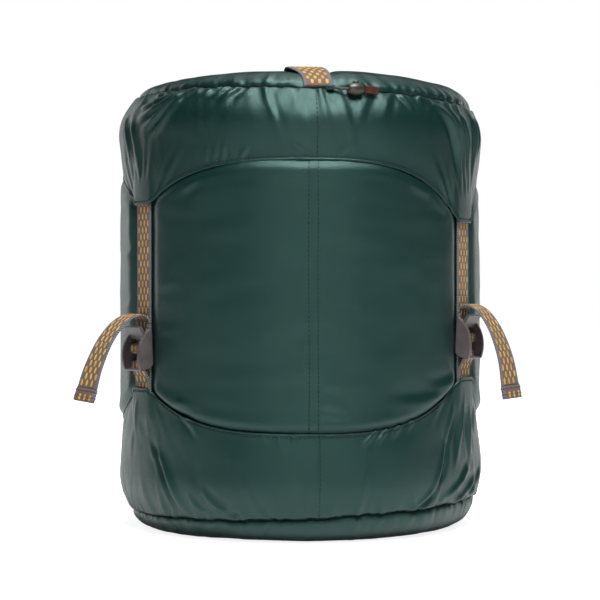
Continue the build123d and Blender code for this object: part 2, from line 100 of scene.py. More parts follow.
# ---- Looks of the cloth ----
COLUMNS = 528
SIDE_COLUMNS = 380
SEAM_TILT = 0.0055  # the seams stand this much higher on one side than in front
SEAM_WAVE = 0.0013
EDGE_PINCH = 0.0013
FOLD_DEPTH = 1.35  # of the listed folds
SEAM_GROOVE = 0.0024  # the covers' edges are drawn in by this much
BULGE = 0.0036  # the stuffed side stands this far off the straps
STITCH_PITCH = 0.0031
STITCH_LENGTH = 0.0023
STITCH_R = 0.00034
BEAD_R = 0.0008  # the rolled hem of a cover's edge
BEAD_INSET = 0.35  # of that radius
HEM_STITCH_IN = 0.0019
CLOTH_THICK = 0.0004
FOOT_CLEAR = 0.0004  # the base's cloth stays this far above the floor
PUCKER_SLANT = 260.0  # degrees round the sack for each metre from the seam
EAR_FAN = 40.0  # half the angle that an ear's folds fan out over
EAR_FOLD_STRENGTH = {"left": 0.45, "right": 0.75, "back": 1.0}

# ---- Settling of the cloth: it is cut larger than it lies, and buckles ----
NYLON_CLOTH = {
    "pin_stiffness": 1.0,
    "quality": 6,
    "mass": 0.12,
    "tension_stiffness": 30.0,
    "compression_stiffness": 30.0,
    "shear_stiffness": 10.0,
    "bending_stiffness": 0.6,
    "tension_damping": 15.0,
    "compression_damping": 15.0,
    "air_damping": 4.0,
    "use_pressure": True,
    "uniform_pressure_force": 1.5,
}
FRAMES = 20
COVER_CUT = (1.008, 0.016, 1.010)  # round the sack, more of it at the seams, and upwards
COVER_CAP = 0.0030  # the furthest that a point moves
SIDE_CUT = (1.006, 1.012)
SIDE_CAP = 0.0020
PINNED_R = 0.030
FLAT_Z = 0.0012  # cloth below this lies on the floor

# Folds sculpted into the cloth: the two ends, each as degrees from the front and height in
# metres, then width and height off the cloth in millimetres; a negative one is a crease
FOLDS = {
    "lid": [
        ((-42, 0.3065), (-60, 0.280), 2.2, 2.6),
        ((-44, 0.3075), (-63, 0.290), 2.0, 2.2),
        ((-47, 0.307), (-67, 0.298), 1.8, 1.8),
        ((-41, 0.302), (-55, 0.274), 2.2, 2.0),
        ((-26, 0.307), (-31.5, 0.298), 1.8, 1.7),
        ((-21.5, 0.307), (-27.5, 0.297), 1.9, 1.6),
        ((-17, 0.306), (-22.5, 0.298), 1.7, 1.2),
        ((-31.5, 0.306), (-36, 0.300), 1.5, 1.0),
        ((-36, 0.306), (-40, 0.301), 1.5, 0.8),
        ((29.5, 0.303), (34, 0.290), 1.5, 1.3),
        ((36, 0.3055), (46, 0.292), 2.2, 1.0),
        ((47, 0.297), (57.5, 0.244), 2.6, 2.2),
        ((51, 0.297), (60.5, 0.246), 2.2, 1.7),
        ((44, 0.300), (54, 0.262), 2.2, 1.3),
        ((57, 0.296), (63, 0.250), 2.2, 1.4),
        ((66, 0.296), (68, 0.250), 2.6, 1.6),
        ((74, 0.296), (72, 0.262), 2.4, 1.2),
        ((-66, 0.292), (-63, 0.246), 3.0, 1.3),
        ((-73, 0.296), (-69, 0.258), 2.8, 1.3),
        ((-31, 0.2585), (-31, 0.268), 1.0, 0.7),
        ((-28.3, 0.2585), (-28, 0.2685), 1.0, 0.8),
        ((-25.5, 0.2585), (-25.2, 0.270), 1.1, 0.8),
        ((-20.5, 0.2585), (-17.5, 0.267), 1.3, 0.7),
        ((8, 0.259), (13, 0.2685), 2.2, 0.7),
        ((-1, 0.2585), (-6, 0.270), 2.6, 0.8),
    ],
    "base": [
        ((-41, 0.087), (-34, 0.071), 1.7, 1.4),
        ((-54, 0.066), (-43, 0.017), 2.0, -1.7),
        ((-51.5, 0.060), (-41, 0.019), 3.0, 1.4),
        ((-25.5, 0.021), (-33, 0.037), 2.2, 1.5),
        ((-33, 0.0195), (-38, 0.033), 2.0, 1.1),
        ((-24, 0.021), (-20.5, 0.010), 1.6, -1.2),
        ((55, 0.104), (48.5, 0.062), 2.0, -2.4),
        ((49, 0.066), (41, 0.028), 2.0, -2.6),
        ((42, 0.032), (33, 0.009), 1.8, -2.4),
        ((58, 0.104), (52, 0.044), 2.4, 2.0),
        ((56, 0.100), (50, 0.060), 1.8, 1.4),
        ((64, 0.103), (70, 0.066), 2.4, 1.7),
        ((61, 0.102), (63, 0.050), 2.6, 1.5),
        ((62, 0.048), (45, 0.024), 2.2, 1.6),
        ((68, 0.040), (50, 0.012), 2.2, 1.5),
        ((74, 0.044), (60, 0.012), 2.4, 1.3),
        ((21.5, 0.078), (15.5, 0.066), 1.2, 0.9),
        ((25, 0.080), (19.5, 0.066), 1.3, 1.0),
        ((30, 0.083), (24.5, 0.070), 1.4, 1.0),
        ((34.5, 0.086), (31, 0.075), 1.3, 0.9),
        ((-10, 0.074), (-8, 0.067), 1.2, 0.8),
        ((-14.5, 0.074), (-12, 0.067), 1.2, 0.8),
        ((-5, 0.074), (-4, 0.068), 1.2, 0.7),
        ((-62, 0.098), (-66, 0.066), 2.2, 1.4),
        ((-56, 0.100), (-57, 0.070), 2.4, 0.8),
    ],
    "side": [
        ((3.5, 0.095), (13, 0.088), 2.6, 0.8),
        ((4, 0.107), (11, 0.105), 2.6, 0.6),
        ((45, 0.099), (22, 0.095), 3.4, 0.9),
        ((51, 0.108), (36, 0.104), 3.0, 0.8),
        ((-43, 0.094), (-35, 0.091), 2.0, 0.7),
        ((-52, 0.172), (-38, 0.174), 2.4, 0.6),
        ((-52, 0.141), (-40, 0.143), 2.4, 0.6),
        ((-69, 0.160), (-80, 0.158), 2.2, 0.9),
        ((-69, 0.196), (-82, 0.199), 2.2, 0.8),
        ((68, 0.130), (82, 0.126), 2.4, 0.9),
        ((40, 0.236), (30, 0.247), 2.6, 0.9),
        ((-40, 0.238), (-32, 0.247), 2.6, 0.8),
        ((47, 0.226), (42, 0.232), 2.0, 0.7),
    ],
}
VERTICAL_SEAMS = {"lid": [2.5], "base": [3.3], "side": [0.1, 2.8]}  # degrees from the front

# ---- Webbing, handle and cord ----
PIVOT_OUT = 0.00325  # from the tube out to a ladder lock's pivot bar
RUN_OUT = 0.0009
RETURN_OUT = 0.00215
LOOP_R = 0.00235  # of the webbing round a pivot bar
BUCKLE_TOP = 0.028
LOWER_RUN = 0.012  # length of the run just above the ladder lock
# The free tails, out from the tube and up from the pivot bar, as in the CAD
TAILS = {
    "left": [
        (0.00215, 0.028), (0.00215, 0.0312), (0.008, 0.0346), (0.0195, 0.030),
        (0.031, 0.017), (0.040, -0.001), (0.0449, -0.016),
    ],
    "right": [
        (0.00215, 0.028), (0.00215, 0.0308), (0.0075, 0.0336), (0.017, 0.0285),
        (0.026, 0.0155), (0.033, -0.003), (0.0366, -0.0225),
    ],
    "back": [
        (0.00215, 0.028), (0.00215, 0.031), (0.0078, 0.034), (0.018, 0.029),
        (0.0285, 0.016), (0.0365, -0.002), (0.0408, -0.0195),
    ],
}
TAIL_TWIST = {"left": 16.0, "right": -16.0, "back": 8.0}  # degrees, at the end
TAIL_START = 0.05  # along its strap, for the pattern
HEM_START = 0.13
HEM_RUN = 0.009
HEM_THICK = 0.0026
HEM_SEAMS = (0.0015, 0.0058)  # from the tail's end
FLOAT_PITCH = 0.0047
FLOAT_SPACING = 0.0052
FLOAT_HALF = (0.00115, 0.0024)
FLOAT_RINGS = ((1.0, 0.02), (0.6, 0.16), (0.0, 0.2))  # share of its size, height in mm
FLOAT_OUTLINE = [
    (math.copysign(abs(math.sin(t)) ** 0.7, math.sin(t)), math.cos(t))
    for t in np.radians(range(0, 360, 45))
]
HANDLE_AZIMUTH = 3.2
HANDLE_RIGHT = (math.cos(math.radians(HANDLE_AZIMUTH)), math.sin(math.radians(HANDLE_AZIMUTH)), 0.0)
HANDLE_WIDE = 0.0245
HANDLE_END_WIDE = 0.0195
HANDLE_SKEW = 0.0045
HANDLE_BEND = (0.088, 0.119)  # between these radii the handle turns down to its end
# The handle's line, out from the sack's axis and up, from its front end to its middle
HANDLE_ROUTE = [
    (0.1222, 0.3068), (0.1195, 0.3108), (0.1135, 0.3152), (0.104, 0.3198),
    (0.090, 0.3233), (0.070, 0.3264), (0.040, 0.3292), (0.0, 0.3304),
]
CORD_AZIMUTH = 15.0
CORD_RADIUS = 0.1296
CORD_Z = 0.305
# The cord's line: to the right, outwards and up from the cord lock's middle
CORD_ROUTE = [
    (-0.0205, -0.0055, 0.0012), (-0.0125, 0.0, 0.0), (-0.0113, 0.0, 0.0),
    (0.0045, 0.0, 0.0), (0.0125, -0.0014, -0.0004),
]
CORD_DIAMETER = 0.002

# ---- Under the lid ----
MOUTH_INSET = 0.0055
MOUTH_REACH = 0.0185  # from the middle of the top to the mouth
MOUTH_ROWS = 24
MOUTH_COLUMNS = 180
PLEATS = 22
PLEAT_DEPTH = 0.0009
HEM_GATHER = 0.08

# ---- Light ----
ROOM_LIGHT = 0.06
FLOOR_LIGHT = 0.06
LIGHTS = [  # name, place, target, size, power
    ("key", (0.15, -0.95, 1.8), (0.0, 0.0, 0.26), (0.7, 0.7), 60.0),
    ("front", (0.12, -1.9, 0.35), (0.0, 0.0, 0.16), (0.3, 1.4), 4.6),
    ("left_rim", (-1.0, 1.3, 0.4), (0.0, 0.0, 0.18), (0.7, 1.6), 5.5),
    ("right_rim", (1.0, 1.3, 0.4), (0.0, 0.0, 0.18), (0.7, 1.6), 4.5),
    ("top", (0.1, 0.4, 1.8), (0.0, 0.0, 0.3), (1.2, 0.8), 8.0),
]

# ---- Camera ----
CAMERA_AZIMUTH = -2.5
CAMERA_DISTANCE = 1.30
CAMERA_Z = 0.164
CAMERA_LENS = 105.6


def add_camera():
    turn = math.radians(CAMERA_AZIMUTH)
    data = bpy.data.cameras.new("camera")
    data.lens = CAMERA_LENS
    data.sensor_width = 36.0
    camera = bpy.data.objects.new("camera", data)
    bpy.context.scene.collection.objects.link(camera)
    camera.location = (
        CAMERA_DISTANCE * math.sin(turn),
        -CAMERA_DISTANCE * math.cos(turn),
        CAMERA_Z,
    )
    camera.rotation_euler = (math.pi / 2, 0, turn)
    bpy.context.scene.camera = camera


# ---- Materials ----
class Nodes:
    """A material's node tree, with short ways to add and link nodes."""

    def __init__(self, name):
        self.material = bpy.data.materials.new(name)
        self.material.use_nodes = True
        self.tree = self.material.node_tree
        self.shader = self.tree.nodes["Principled BSDF"]

    def set(self, **values):
        for key, value in values.items():
            self.shader.inputs[key.replace("_", " ")].default_value = value

    def add(self, kind, **values):
        node = self.tree.nodes.new(kind)
        for key, value in values.items():
            setattr(node, key, value)
        return node

    def link(self, source, target):
        self.tree.links.new(source, target)

    def math(self, operation, first, second=None):
        node = self.add("ShaderNodeMath", operation=operation)
        for socket, value in zip(node.inputs, (first, second)):
            if isinstance(value, (int, float)):
                socket.default_value = value
            elif value is not None:
                self.link(value, socket)
        return node.outputs[0]

    def noise(self, vector, scale, detail=3.0):
        node = self.add("ShaderNodeTexNoise")
        node.inputs["Scale"].default_value = scale
        node.inputs["Detail"].default_value = detail
        self.link(vector, node.inputs["Vector"])
        return node.outputs["Fac"]

    def mix(self, factor, first, second):
        node = self.add("ShaderNodeMix", data_type="RGBA")
        self.link(factor, node.inputs[0])
        for socket, value in ((node.inputs[6], first), (node.inputs[7], second)):
            if isinstance(value, tuple):
                socket.default_value = (*value, 1.0)
            else:
                self.link(value, socket)
        return node.outputs[2]

    def ramp(self, factor, low, high, first=0.0, second=1.0):
        node = self.add("ShaderNodeMapRange")
        node.inputs["From Min"].default_value = low
        node.inputs["From Max"].default_value = high
        node.inputs["To Min"].default_value = first
        node.inputs["To Max"].default_value = second
        self.link(factor, node.inputs["Value"])
        return node.outputs[0]

    def bump(self, height, strength, distance):
        node = self.add("ShaderNodeBump")
        node.inputs["Strength"].default_value = strength
        node.inputs["Distance"].default_value = distance
        self.link(height, node.inputs["Height"])
        self.link(node.outputs[0], self.shader.inputs["Normal"])

    def colour(self, output):
        self.link(output, self.shader.inputs["Base Color"])

    def place(self):
        return self.add("ShaderNodeTexCoord").outputs["Object"]

    def uv(self):
        """The mesh's own map, in millimetres along its two threads."""
        split = self.add("ShaderNodeSeparateXYZ")
        self.link(self.add("ShaderNodeUVMap", uv_map="threads").outputs[0], split.inputs[0])
        return split.outputs[0], split.outputs[1]


def srgb(red, green, blue):
    """A colour given as it looks on a screen, from 0 to 255, in linear light."""
    shares = (value / 255 for value in (red, green, blue))
    return tuple(s / 12.92 if s <= 0.04045 else ((s + 0.055) / 1.055) ** 2.4 for s in shares)


def nylon_material():
    """Coated taffeta: a dark green, satin, with fine threads and faint unevenness."""
    n = Nodes("coated_nylon")
    place = n.place()
    across, along = n.uv()
    weft = n.math("SINE", n.math("MULTIPLY", across, 2 * math.pi / 0.62))
    warp = n.math("SINE", n.math("MULTIPLY", along, 2 * math.pi / 0.50))
    weave = n.math("MULTIPLY", weft, warp)
    slub = n.noise(place, 700.0, 2.0)
    cloud = n.noise(place, 16.0, 4.0)
    base = n.mix(n.ramp(cloud, 0.3, 0.7), srgb(7, 34, 31), srgb(10, 40, 37))
    n.colour(n.mix(n.ramp(weave, -1.0, 1.0), srgb(5, 29, 27), base))
    n.link(n.ramp(slub, 0.3, 0.7, 0.29, 0.38), n.shader.inputs["Roughness"])
    n.bump(n.math("ADD", weave, n.math("MULTIPLY", slub, 2.0)), 0.30, 0.00012)
    n.set(Specular_IOR_Level=0.65)
    n.shader.inputs["Specular Tint"].default_value = (*srgb(190, 240, 230), 1.0)
    return n.material


def webbing_material():
    """Taupe webbing: a herringbone ground, and grey-blue selvedges ticked with white."""
    n = Nodes("webbing_ground")
    across, along = n.uv()
    side = n.math("ABSOLUTE", across)
    half = 1000 * WEBBING_WIDTH / 2
    twill = n.math("ADD", along, n.math("PINGPONG", n.math("ADD", across, 40.0), 1.4))
    rib = n.math("SINE", n.math("MULTIPLY", twill, 2 * math.pi / 1.1))
    pick = n.math("SINE", n.math("MULTIPLY", along, 2 * math.pi / 0.5))
    ground = n.mix(n.ramp(rib, -1.0, 1.0), srgb(76, 62, 55), srgb(112, 95, 86))
    tick = n.math("SINE", n.math("MULTIPLY", n.math("ADD", along, side), 2 * math.pi / 1.9))
    selvedge = n.mix(n.ramp(tick, 0.2, 0.7), srgb(66, 64, 74), srgb(136, 130, 130))
    n.colour(n.mix(n.ramp(side, half - 2.3, half - 2.0), ground, selvedge))
    n.set(Roughness=0.8, Sheen_Weight=0.05, Sheen_Roughness=0.5, Specular_IOR_Level=0.3)
    n.bump(n.math("ADD", rib, n.math("MULTIPLY", pick, 0.5)), 0.5, 0.00018)
    return n.material


def dash_material():
    """Golden yellow floats of the webbing's pattern, a shinier thread."""
    n = Nodes("webbing_floats")
    across, along = n.uv()
    strand = n.math("SINE", n.math("MULTIPLY", across, 2 * math.pi / 0.45))
    tone = n.noise(n.place(), 160.0, 1.0)
    base = n.mix(n.ramp(tone, 0.35, 0.65), srgb(196, 148, 52), srgb(222, 180, 84))
    n.colour(n.mix(n.ramp(strand, -1.0, 0.6), srgb(150, 104, 34), base))
    n.set(Roughness=0.5, Sheen_Weight=0.05, Sheen_Roughness=0.4, Specular_IOR_Level=0.45)
    n.bump(strand, 0.5, 0.0002)
    return n.material


def plastic_material(name, dark, light, roughness):
    """Moulded acetal: even, satin, with a fine spark-eroded texture and faint rubbing."""
    n = Nodes(name)
    place = n.place()
    grain = n.noise(place, 2600.0, 2.0)
    rub = n.noise(place, 180.0, 4.0)
    n.colour(n.mix(n.ramp(rub, 0.25, 0.8), dark, light))
    n.link(n.ramp(rub, 0.3, 0.7, roughness - 0.02, roughness + 0.05), n.shader.inputs["Roughness"])
    n.bump(grain, 0.25, 0.00008)
    n.set(Specular_IOR_Level=0.5)
    return n.material


def mottled_material(name, scale, detail, dark, light, bump=None, **values):
    """One tone that wanders between two colours; bump holds its strength and depth."""
    n = Nodes(name)
    tone = n.noise(n.place(), scale, detail)
    n.colour(n.mix(n.ramp(tone, 0.3, 0.7), dark, light))
    n.set(**values)
    if bump:
        n.bump(tone, *bump)
    return n.material


def leather_material():
    """Red-brown leather of the cord's tab, with grain and a tone that wanders at random."""
    n = Nodes("tab_leather")
    place = n.place()
    cell = n.add("ShaderNodeTexVoronoi", feature="DISTANCE_TO_EDGE")
    cell.inputs["Scale"].default_value = 1400.0
    n.link(place, cell.inputs["Vector"])
    tone = n.noise(place, 260.0, 4.0)
    n.colour(n.mix(n.ramp(tone, 0.3, 0.7), srgb(42, 14, 11), srgb(84, 30, 24)))
    n.set(Roughness=0.42, Specular_IOR_Level=0.5)
    n.bump(cell.outputs[0], 0.4, 0.0002)
    return n.material


def cord_material():
    """Braided cord: two fine spirals that cross."""
    n = Nodes("braided_cord")
    tone = n.noise(n.place(), 1200.0, 2.0)
    wave = n.add("ShaderNodeTexWave", wave_type="BANDS", bands_direction="DIAGONAL")
    wave.inputs["Scale"].default_value = 380.0
    n.link(n.place(), wave.inputs["Vector"])
    n.colour(n.mix(n.ramp(tone, 0.3, 0.7), srgb(22, 30, 28), srgb(52, 60, 54)))
    n.set(Roughness=0.7, Sheen_Weight=0.2)
    n.bump(wave.outputs["Fac"], 0.6, 0.0002)
    return n.material


NYLON = nylon_material()
GROUND = webbing_material()
DASH = dash_material()
BUCKLE = plastic_material("buckle_plastic", srgb(62, 56, 57), srgb(80, 73, 75), 0.36)
LOCK = plastic_material("lock_plastic", srgb(28, 28, 22), srgb(52, 50, 40), 0.34)
THREAD = mottled_material(
    "sewing_thread", 1500.0, 2.0, srgb(8, 24, 22), srgb(18, 40, 37), (0.4, 0.0001),
    Roughness=0.6, Specular_IOR_Level=0.2,
)
BROWN_THREAD = mottled_material(
    "bar_thread", 1500.0, 2.0, srgb(44, 28, 24), srgb(78, 56, 48), (0.4, 0.0001),
    Roughness=0.65, Sheen_Weight=0.2,
)
LEATHER = leather_material()
CORD = cord_material()
STEEL = mottled_material(
    "spring_wire", 900.0, 2.0, (0.42, 0.42, 0.43), (0.6, 0.6, 0.6), Metallic=1.0, Roughness=0.3
)
STUFFING = mottled_material(
    "stuffing_cloth", 60.0, 4.0, srgb(90, 92, 96), srgb(120, 122, 126), (0.5, 0.001),
    Roughness=0.85, Sheen_Weight=0.3,
)


# ---- Mesh helpers ----
def new_piece(name, points, faces, material, uv=None, slots=None, materials=()):
    """A smooth-shaded mesh object. uv holds one pair for each point, in millimetres."""
    mesh = bpy.data.meshes.new(name)
    mesh.from_pydata([tuple(p) for p in points], [], faces)
    for extra in (material, *materials):
        mesh.materials.append(extra)
    mesh.polygons.foreach_set("use_smooth", np.ones(len(mesh.polygons), bool))
    if slots is not None:
        mesh.polygons.foreach_set("material_index", np.array(slots, np.int32))
    if uv is not None:
        layer = mesh.uv_layers.new(name="threads")
        corners = np.zeros(len(mesh.loops), np.int32)
        mesh.loops.foreach_get("vertex_index", corners)
        layer.data.foreach_set("uv", np.asarray(uv, np.float32)[corners].ravel())
    mesh.update()
    for face in mesh.polygons:
        if face.loop_total > 4:
            face.use_smooth = False
    piece = bpy.data.objects.new(name, mesh)
    bpy.context.scene.collection.objects.link(piece)
    return piece


def grid_faces(rows, columns, ring=False):
    """Quads of a grid of points, row by row, with the last column joined to the first; a
    ring has its last row joined to the first too."""
    faces = []
    for row in range(rows if ring else rows - 1):
        here, there = row * columns, (row + 1) % rows * columns
        for column in range(columns):
            after = (column + 1) % columns
            faces.append((here + column, here + after, there + after, there + column))
    return faces


def set_material(piece, material):
    piece.data.materials.clear()
    piece.data.materials.append(material)


def copied_node(name, node, material):
    """A piece of its own, with a copy of the CAD node's mesh."""
    source = frame["nodes"][node]
    piece = bpy.data.objects.new(name, source.data.copy())
    bpy.context.scene.collection.objects.link(piece)
    piece.matrix_world = source.matrix_world.copy()
    set_material(piece, material)
    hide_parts(node)
    return piece


def smoothstep(low, high, value):
    share = np.clip((value - low) / (high - low), 0.0, 1.0)
    return share * share * (3 - 2 * share)


def unit(vectors):
    return vectors / np.linalg.norm(vectors, axis=-1, keepdims=True)


def bell(value, width):
    return np.exp(-((value / width) ** 2))


def wrapped(angle):
    """An angle in degrees, brought to within half a turn."""
    return (np.asarray(angle) + 180.0) % 360.0 - 180.0


def run_along(line):
    """Distance along a line of points, at each of them."""
    return np.concatenate([[0.0], np.cumsum(np.linalg.norm(np.diff(line, axis=0), axis=1))])


def at_places(places, run, line):
    """Points of a line at given distances along it."""
    return np.stack([np.interp(places, run, line[:, k]) for k in range(3)], -1)


def soft_noise(points, scale, seed=0.0):
    """Smooth noise from -1 to 1 at each point, with features about 1/scale across."""
    shift = Vector((seed, -seed, 2 * seed))
    flat = [noise.noise(Vector(p) * scale + shift) for p in points.reshape(-1, 3)]
    return np.array(flat).reshape(points.shape[:-1])


# ---- Outline of the sack ----
def arc_points(start, heading, end, count):
    """Points of the arc that leaves start along heading and reaches end."""
    start, end = np.array(start), np.array(end)
    heading = np.array(heading, float) / np.linalg.norm(heading)
    normal = np.array([-heading[1], heading[0]])
    chord = end - start
    radius = chord @ chord / (2 * (chord @ normal))
    centre = start + normal * radius
    first = math.atan2(*(start - centre)[::-1])
    sweep = math.atan2(*(end - centre)[::-1]) - first
    turning = math.copysign(1.0, radius)
    sweep = (sweep * turning) % (2 * math.pi) * turning
    angles = first + sweep * np.linspace(0, 1, count)
    return centre + abs(radius) * np.stack([np.cos(angles), np.sin(angles)], 1)


class Outline:
    """Half of the sack's outline, from the middle of its bottom to the middle of its top."""

    def __init__(self):
        heel = arc_points((FLOOR_R, 0.0), (1, 0), BASE_SEAM, 24)
        foot = arc_points((SIDE_R, HEEL_Z), (0, -1), BASE_SEAM, 24)[::-1]
        shoulder = arc_points((SIDE_R, SHOULDER_Z), (0, 1), LID_SEAM, 30)
        crown_edge = (CROWN_R, CROWN_Z - CROWN_DROP)
        crown = arc_points((0.0, CROWN_Z), (1, 0), crown_edge, 30)
        slope = crown[-1] - crown[-2]
        top = arc_points(crown_edge, slope, LID_SEAM, 30)[::-1]
        parts = [np.array([[0.0, 0.0]]), heel, foot[1:], shoulder, top[1:], crown[::-1][1:]]
        self.points = np.concatenate(parts)
        self.lengths = run_along(self.points)
        counts = np.cumsum([len(part) for part in parts])
        self.base_seam = self.lengths[counts[1] - 1]
        self.lid_seam = self.lengths[counts[3] - 1]
        self.heel = self.lengths[counts[2] - 1]
        self.top = self.lengths[-1]

    def at(self, length):
        """Radius and height at a length along the outline, with its outward normal."""
        radius = np.interp(length, self.lengths, self.points[:, 0])
        height = np.interp(length, self.lengths, self.points[:, 1])
        step = 0.0015
        before, after = np.maximum(length - step, 0.0), np.minimum(length + step, self.top)
        dr, dz = (
            np.interp(after, self.lengths, line) - np.interp(before, self.lengths, line)
            for line in self.points.T
        )
        size = np.hypot(dr, dz)
        return radius, height, dz / size, -dr / size

    def side_length(self, height):
        """Length along the outline at a height between the two seams."""
        side = (self.lengths >= self.base_seam) & (self.lengths <= self.lid_seam)
        return np.interp(height, self.points[side, 1], self.lengths[side])


OUTLINE = Outline()


def strap_distance(angle, side):
    return np.abs(wrapped(angle - AZIMUTH[side]))


def edge_height(angle, cover):
    """Height of a cover's edge at an angle from the front, in degrees."""
    middle = LID_EDGE_Z if cover == "lid" else BASE_EDGE_Z
    height = np.full(np.shape(angle), middle)
    for side in SIDES:
        share = (strap_distance(angle, side) - EAR_HALF_ANGLE) / (60.0 - EAR_HALF_ANGLE)
        reach = EARS[cover][side] - middle
        height = height + reach * (1 - np.clip(share, 0.0, 1.0)) ** EDGE_POWER
    return height


def ring_position(angle, radius, height):
    """Points at angles in degrees from the front, turning to the right."""
    turn = np.radians(angle)
    return np.stack([radius * np.sin(turn), -radius * np.cos(turn), height + 0 * turn], -1)


# ---- Cloth ----
def settle_cloth(piece, rest, pins, cap):
    """Lets the cloth find its own wrinkles. rest holds its points as it was cut, pins how
    firmly each point is held, and cap the furthest that a point may move."""
    start = np.array([v.co for v in piece.data.vertices])
    trial = bpy.data.objects.new("cloth_trial", piece.data.copy())
    bpy.context.scene.collection.objects.link(trial)
    trial.shape_key_add(name="Basis")
    cut = trial.shape_key_add(name="cut")
    cut.data.foreach_set("co", rest.astype(np.float32).ravel())
    group = trial.vertex_groups.new(name="held")
    for level in np.unique(np.round(pins, 2)):
        if level > 0:
            chosen = np.flatnonzero(np.round(pins, 2) == level)
            group.add([int(i) for i in chosen], float(level), "REPLACE")
    modifier = trial.modifiers.new("cloth", "CLOTH")
    cloth = modifier.settings
    cloth.rest_shape_key = trial.data.shape_keys.key_blocks["cut"]
    cloth.vertex_group_mass = "held"
    for setting, value in NYLON_CLOTH.items():
        setattr(cloth, setting, value)
    cloth.effector_weights.gravity = 0.0
    modifier.collision_settings.use_collision = False
    modifier.collision_settings.use_self_collision = False
    modifier.point_cache.frame_start = 1
    modifier.point_cache.frame_end = FRAMES
    scene = bpy.context.scene
    for step in range(1, FRAMES + 1):
        scene.frame_set(step)
    shown = trial.evaluated_get(bpy.context.evaluated_depsgraph_get())
    moved = np.array([v.co for v in shown.data.vertices]) - start
    scene.frame_set(1)
    bpy.data.objects.remove(trial)
    size = np.linalg.norm(moved, axis=1, keepdims=True)
    moved = moved * (cap * np.tanh(size / cap) / np.maximum(size, 1e-9))
    return start + moved


class Cloth:
    """Cloth round the sack: a grid of points, by angle and by length along the outline."""

    def __init__(self, columns):
        self.columns = columns
        self.angles = np.arange(columns) * 360.0 / columns - 180.0
        self.lengths = None
        self.points = None

    def lay(self, off):
        """The grid's points, standing off the outline by off."""
        angle = np.broadcast_to(self.angles, self.lengths.shape)
        radius, height, out, up = OUTLINE.at(self.lengths)
        return ring_position(angle, radius + off * out, height + off * up)

    def sculpted(self, folds):
        """How far the listed folds lift the cloth, in metres."""
        across = 1000 * SIDE_R * np.radians(self.angles)[None, :] + 0 * self.lengths
        along = 1000 * self.lengths
        lift = np.zeros_like(along)
        for (a1, z1), (a2, z2), width, size in folds:
            start = np.array([1000 * SIDE_R * math.radians(a1), 1000 * OUTLINE.side_length(z1)])
            end = np.array([1000 * SIDE_R * math.radians(a2), 1000 * OUTLINE.side_length(z2)])
            run = end - start
            size_of_run = np.linalg.norm(run)
            share = ((across - start[0]) * run[0] + (along - start[1]) * run[1]) / size_of_run**2
            aside = ((across - start[0]) * run[1] - (along - start[1]) * run[0]) / size_of_run
            aside = aside + 0.05 * size_of_run * np.sin(math.pi * np.clip(share, 0, 1))
            fade = smoothstep(-0.04, 0.16, share) * (1 - smoothstep(0.45, 1.08, share))
            ridge = bell(aside, width) - 0.45 * bell(aside - 1.9 * width, width)
            lift += 0.001 * FOLD_DEPTH * size * fade * ridge
        return lift

    def sample(self, angle, length):
        """The settled cloth's place at an angle and a length along the outline."""
        column = (angle + 180.0) / 360.0 * self.columns
        share = column - math.floor(column)
        spots = []
        for c in (int(math.floor(column)) % self.columns, int(math.floor(column) + 1) % self.columns):
            order = np.argsort(self.lengths[:, c])
            line = self.points[order, c]
            spots.append([np.interp(length, self.lengths[order, c], line[:, k]) for k in range(3)])
        return np.array(spots[0]) * (1 - share) + np.array(spots[1]) * share

    def outward(self, angle, length):
        _, _, out, up = OUTLINE.at(np.array(length))
        turn = math.radians(angle)
        return np.array([math.sin(turn) * out, -math.cos(turn) * out, up], float)

    def stitch(self, name, line, body):
        """A row of stitches along a line of (angle, length) pairs, a fifth proud."""
        spots = [self.sample(a, s) + self.outward(a, s) * 0.2 * STITCH_R for a, s in line]
        middles, headings = even_spots(np.array(spots), STITCH_PITCH)
        seam = stitches(name, middles, STITCH_LENGTH, STITCH_R, THREAD, headings)
        if body:
            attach(seam, body)
        return seam

    def piece(self, name, first, last, outside, close_end=None):
        """The rows from first to last as a mesh with a thickness."""
        rows = last - first + 1
        points = self.points[first : last + 1].reshape(-1, 3)
        across = 1000 * SIDE_R * np.radians(self.angles)
        uv = np.stack([np.broadcast_to(across, self.lengths.shape), 1000 * self.lengths], -1)
        uv = uv[first : last + 1].reshape(-1, 2)
        faces = grid_faces(rows, self.columns)
        if close_end is not None:
            points, uv, faces = closed_middle(points, uv, faces, self.columns, close_end)
        if not outside:
            faces = flipped(faces)
        piece = new_piece(name, points, faces, NYLON, uv)
        smooth = piece.modifiers.new("smooth", "SUBSURF")
        smooth.levels = 1
        smooth.render_levels = 1
        thick = piece.modifiers.new("thickness", "SOLIDIFY")
        thick.thickness = CLOTH_THICK
        thick.offset = -1.0
        return piece


def closed_middle(points, uv, faces, columns, middle):
    """Closes a disc with four rings, each with half the points, and a last small fan."""
    outer = np.arange(len(points) - columns, len(points))
    edge, edge_uv = points[outer], uv[outer]
    for step, share in ((2, 0.8), (4, 0.6), (8, 0.4), (16, 0.2)):
        ring = middle + (edge[::step] - middle) * share
        inner = np.arange(len(ring)) + len(points)
        points = np.concatenate([points, ring])
        uv = np.concatenate([uv, edge_uv[::step]])
        for k in range(len(ring)):
            after = inner[(k + 1) % len(ring)]
            here, halfway, there = (int(outer[(2 * k + d) % len(outer)]) for d in range(3))
            faces.append((here, halfway, int(inner[k])))
            faces.append((halfway, there, int(after), int(inner[k])))
        outer = inner
    points = np.concatenate([points, [middle]])
    uv = np.concatenate([uv, edge_uv[:1]])
    last = len(points) - 1
    faces += [(int(a), int(b), last) for a, b in zip(outer, np.roll(outer, -1))]
    return points, uv, faces


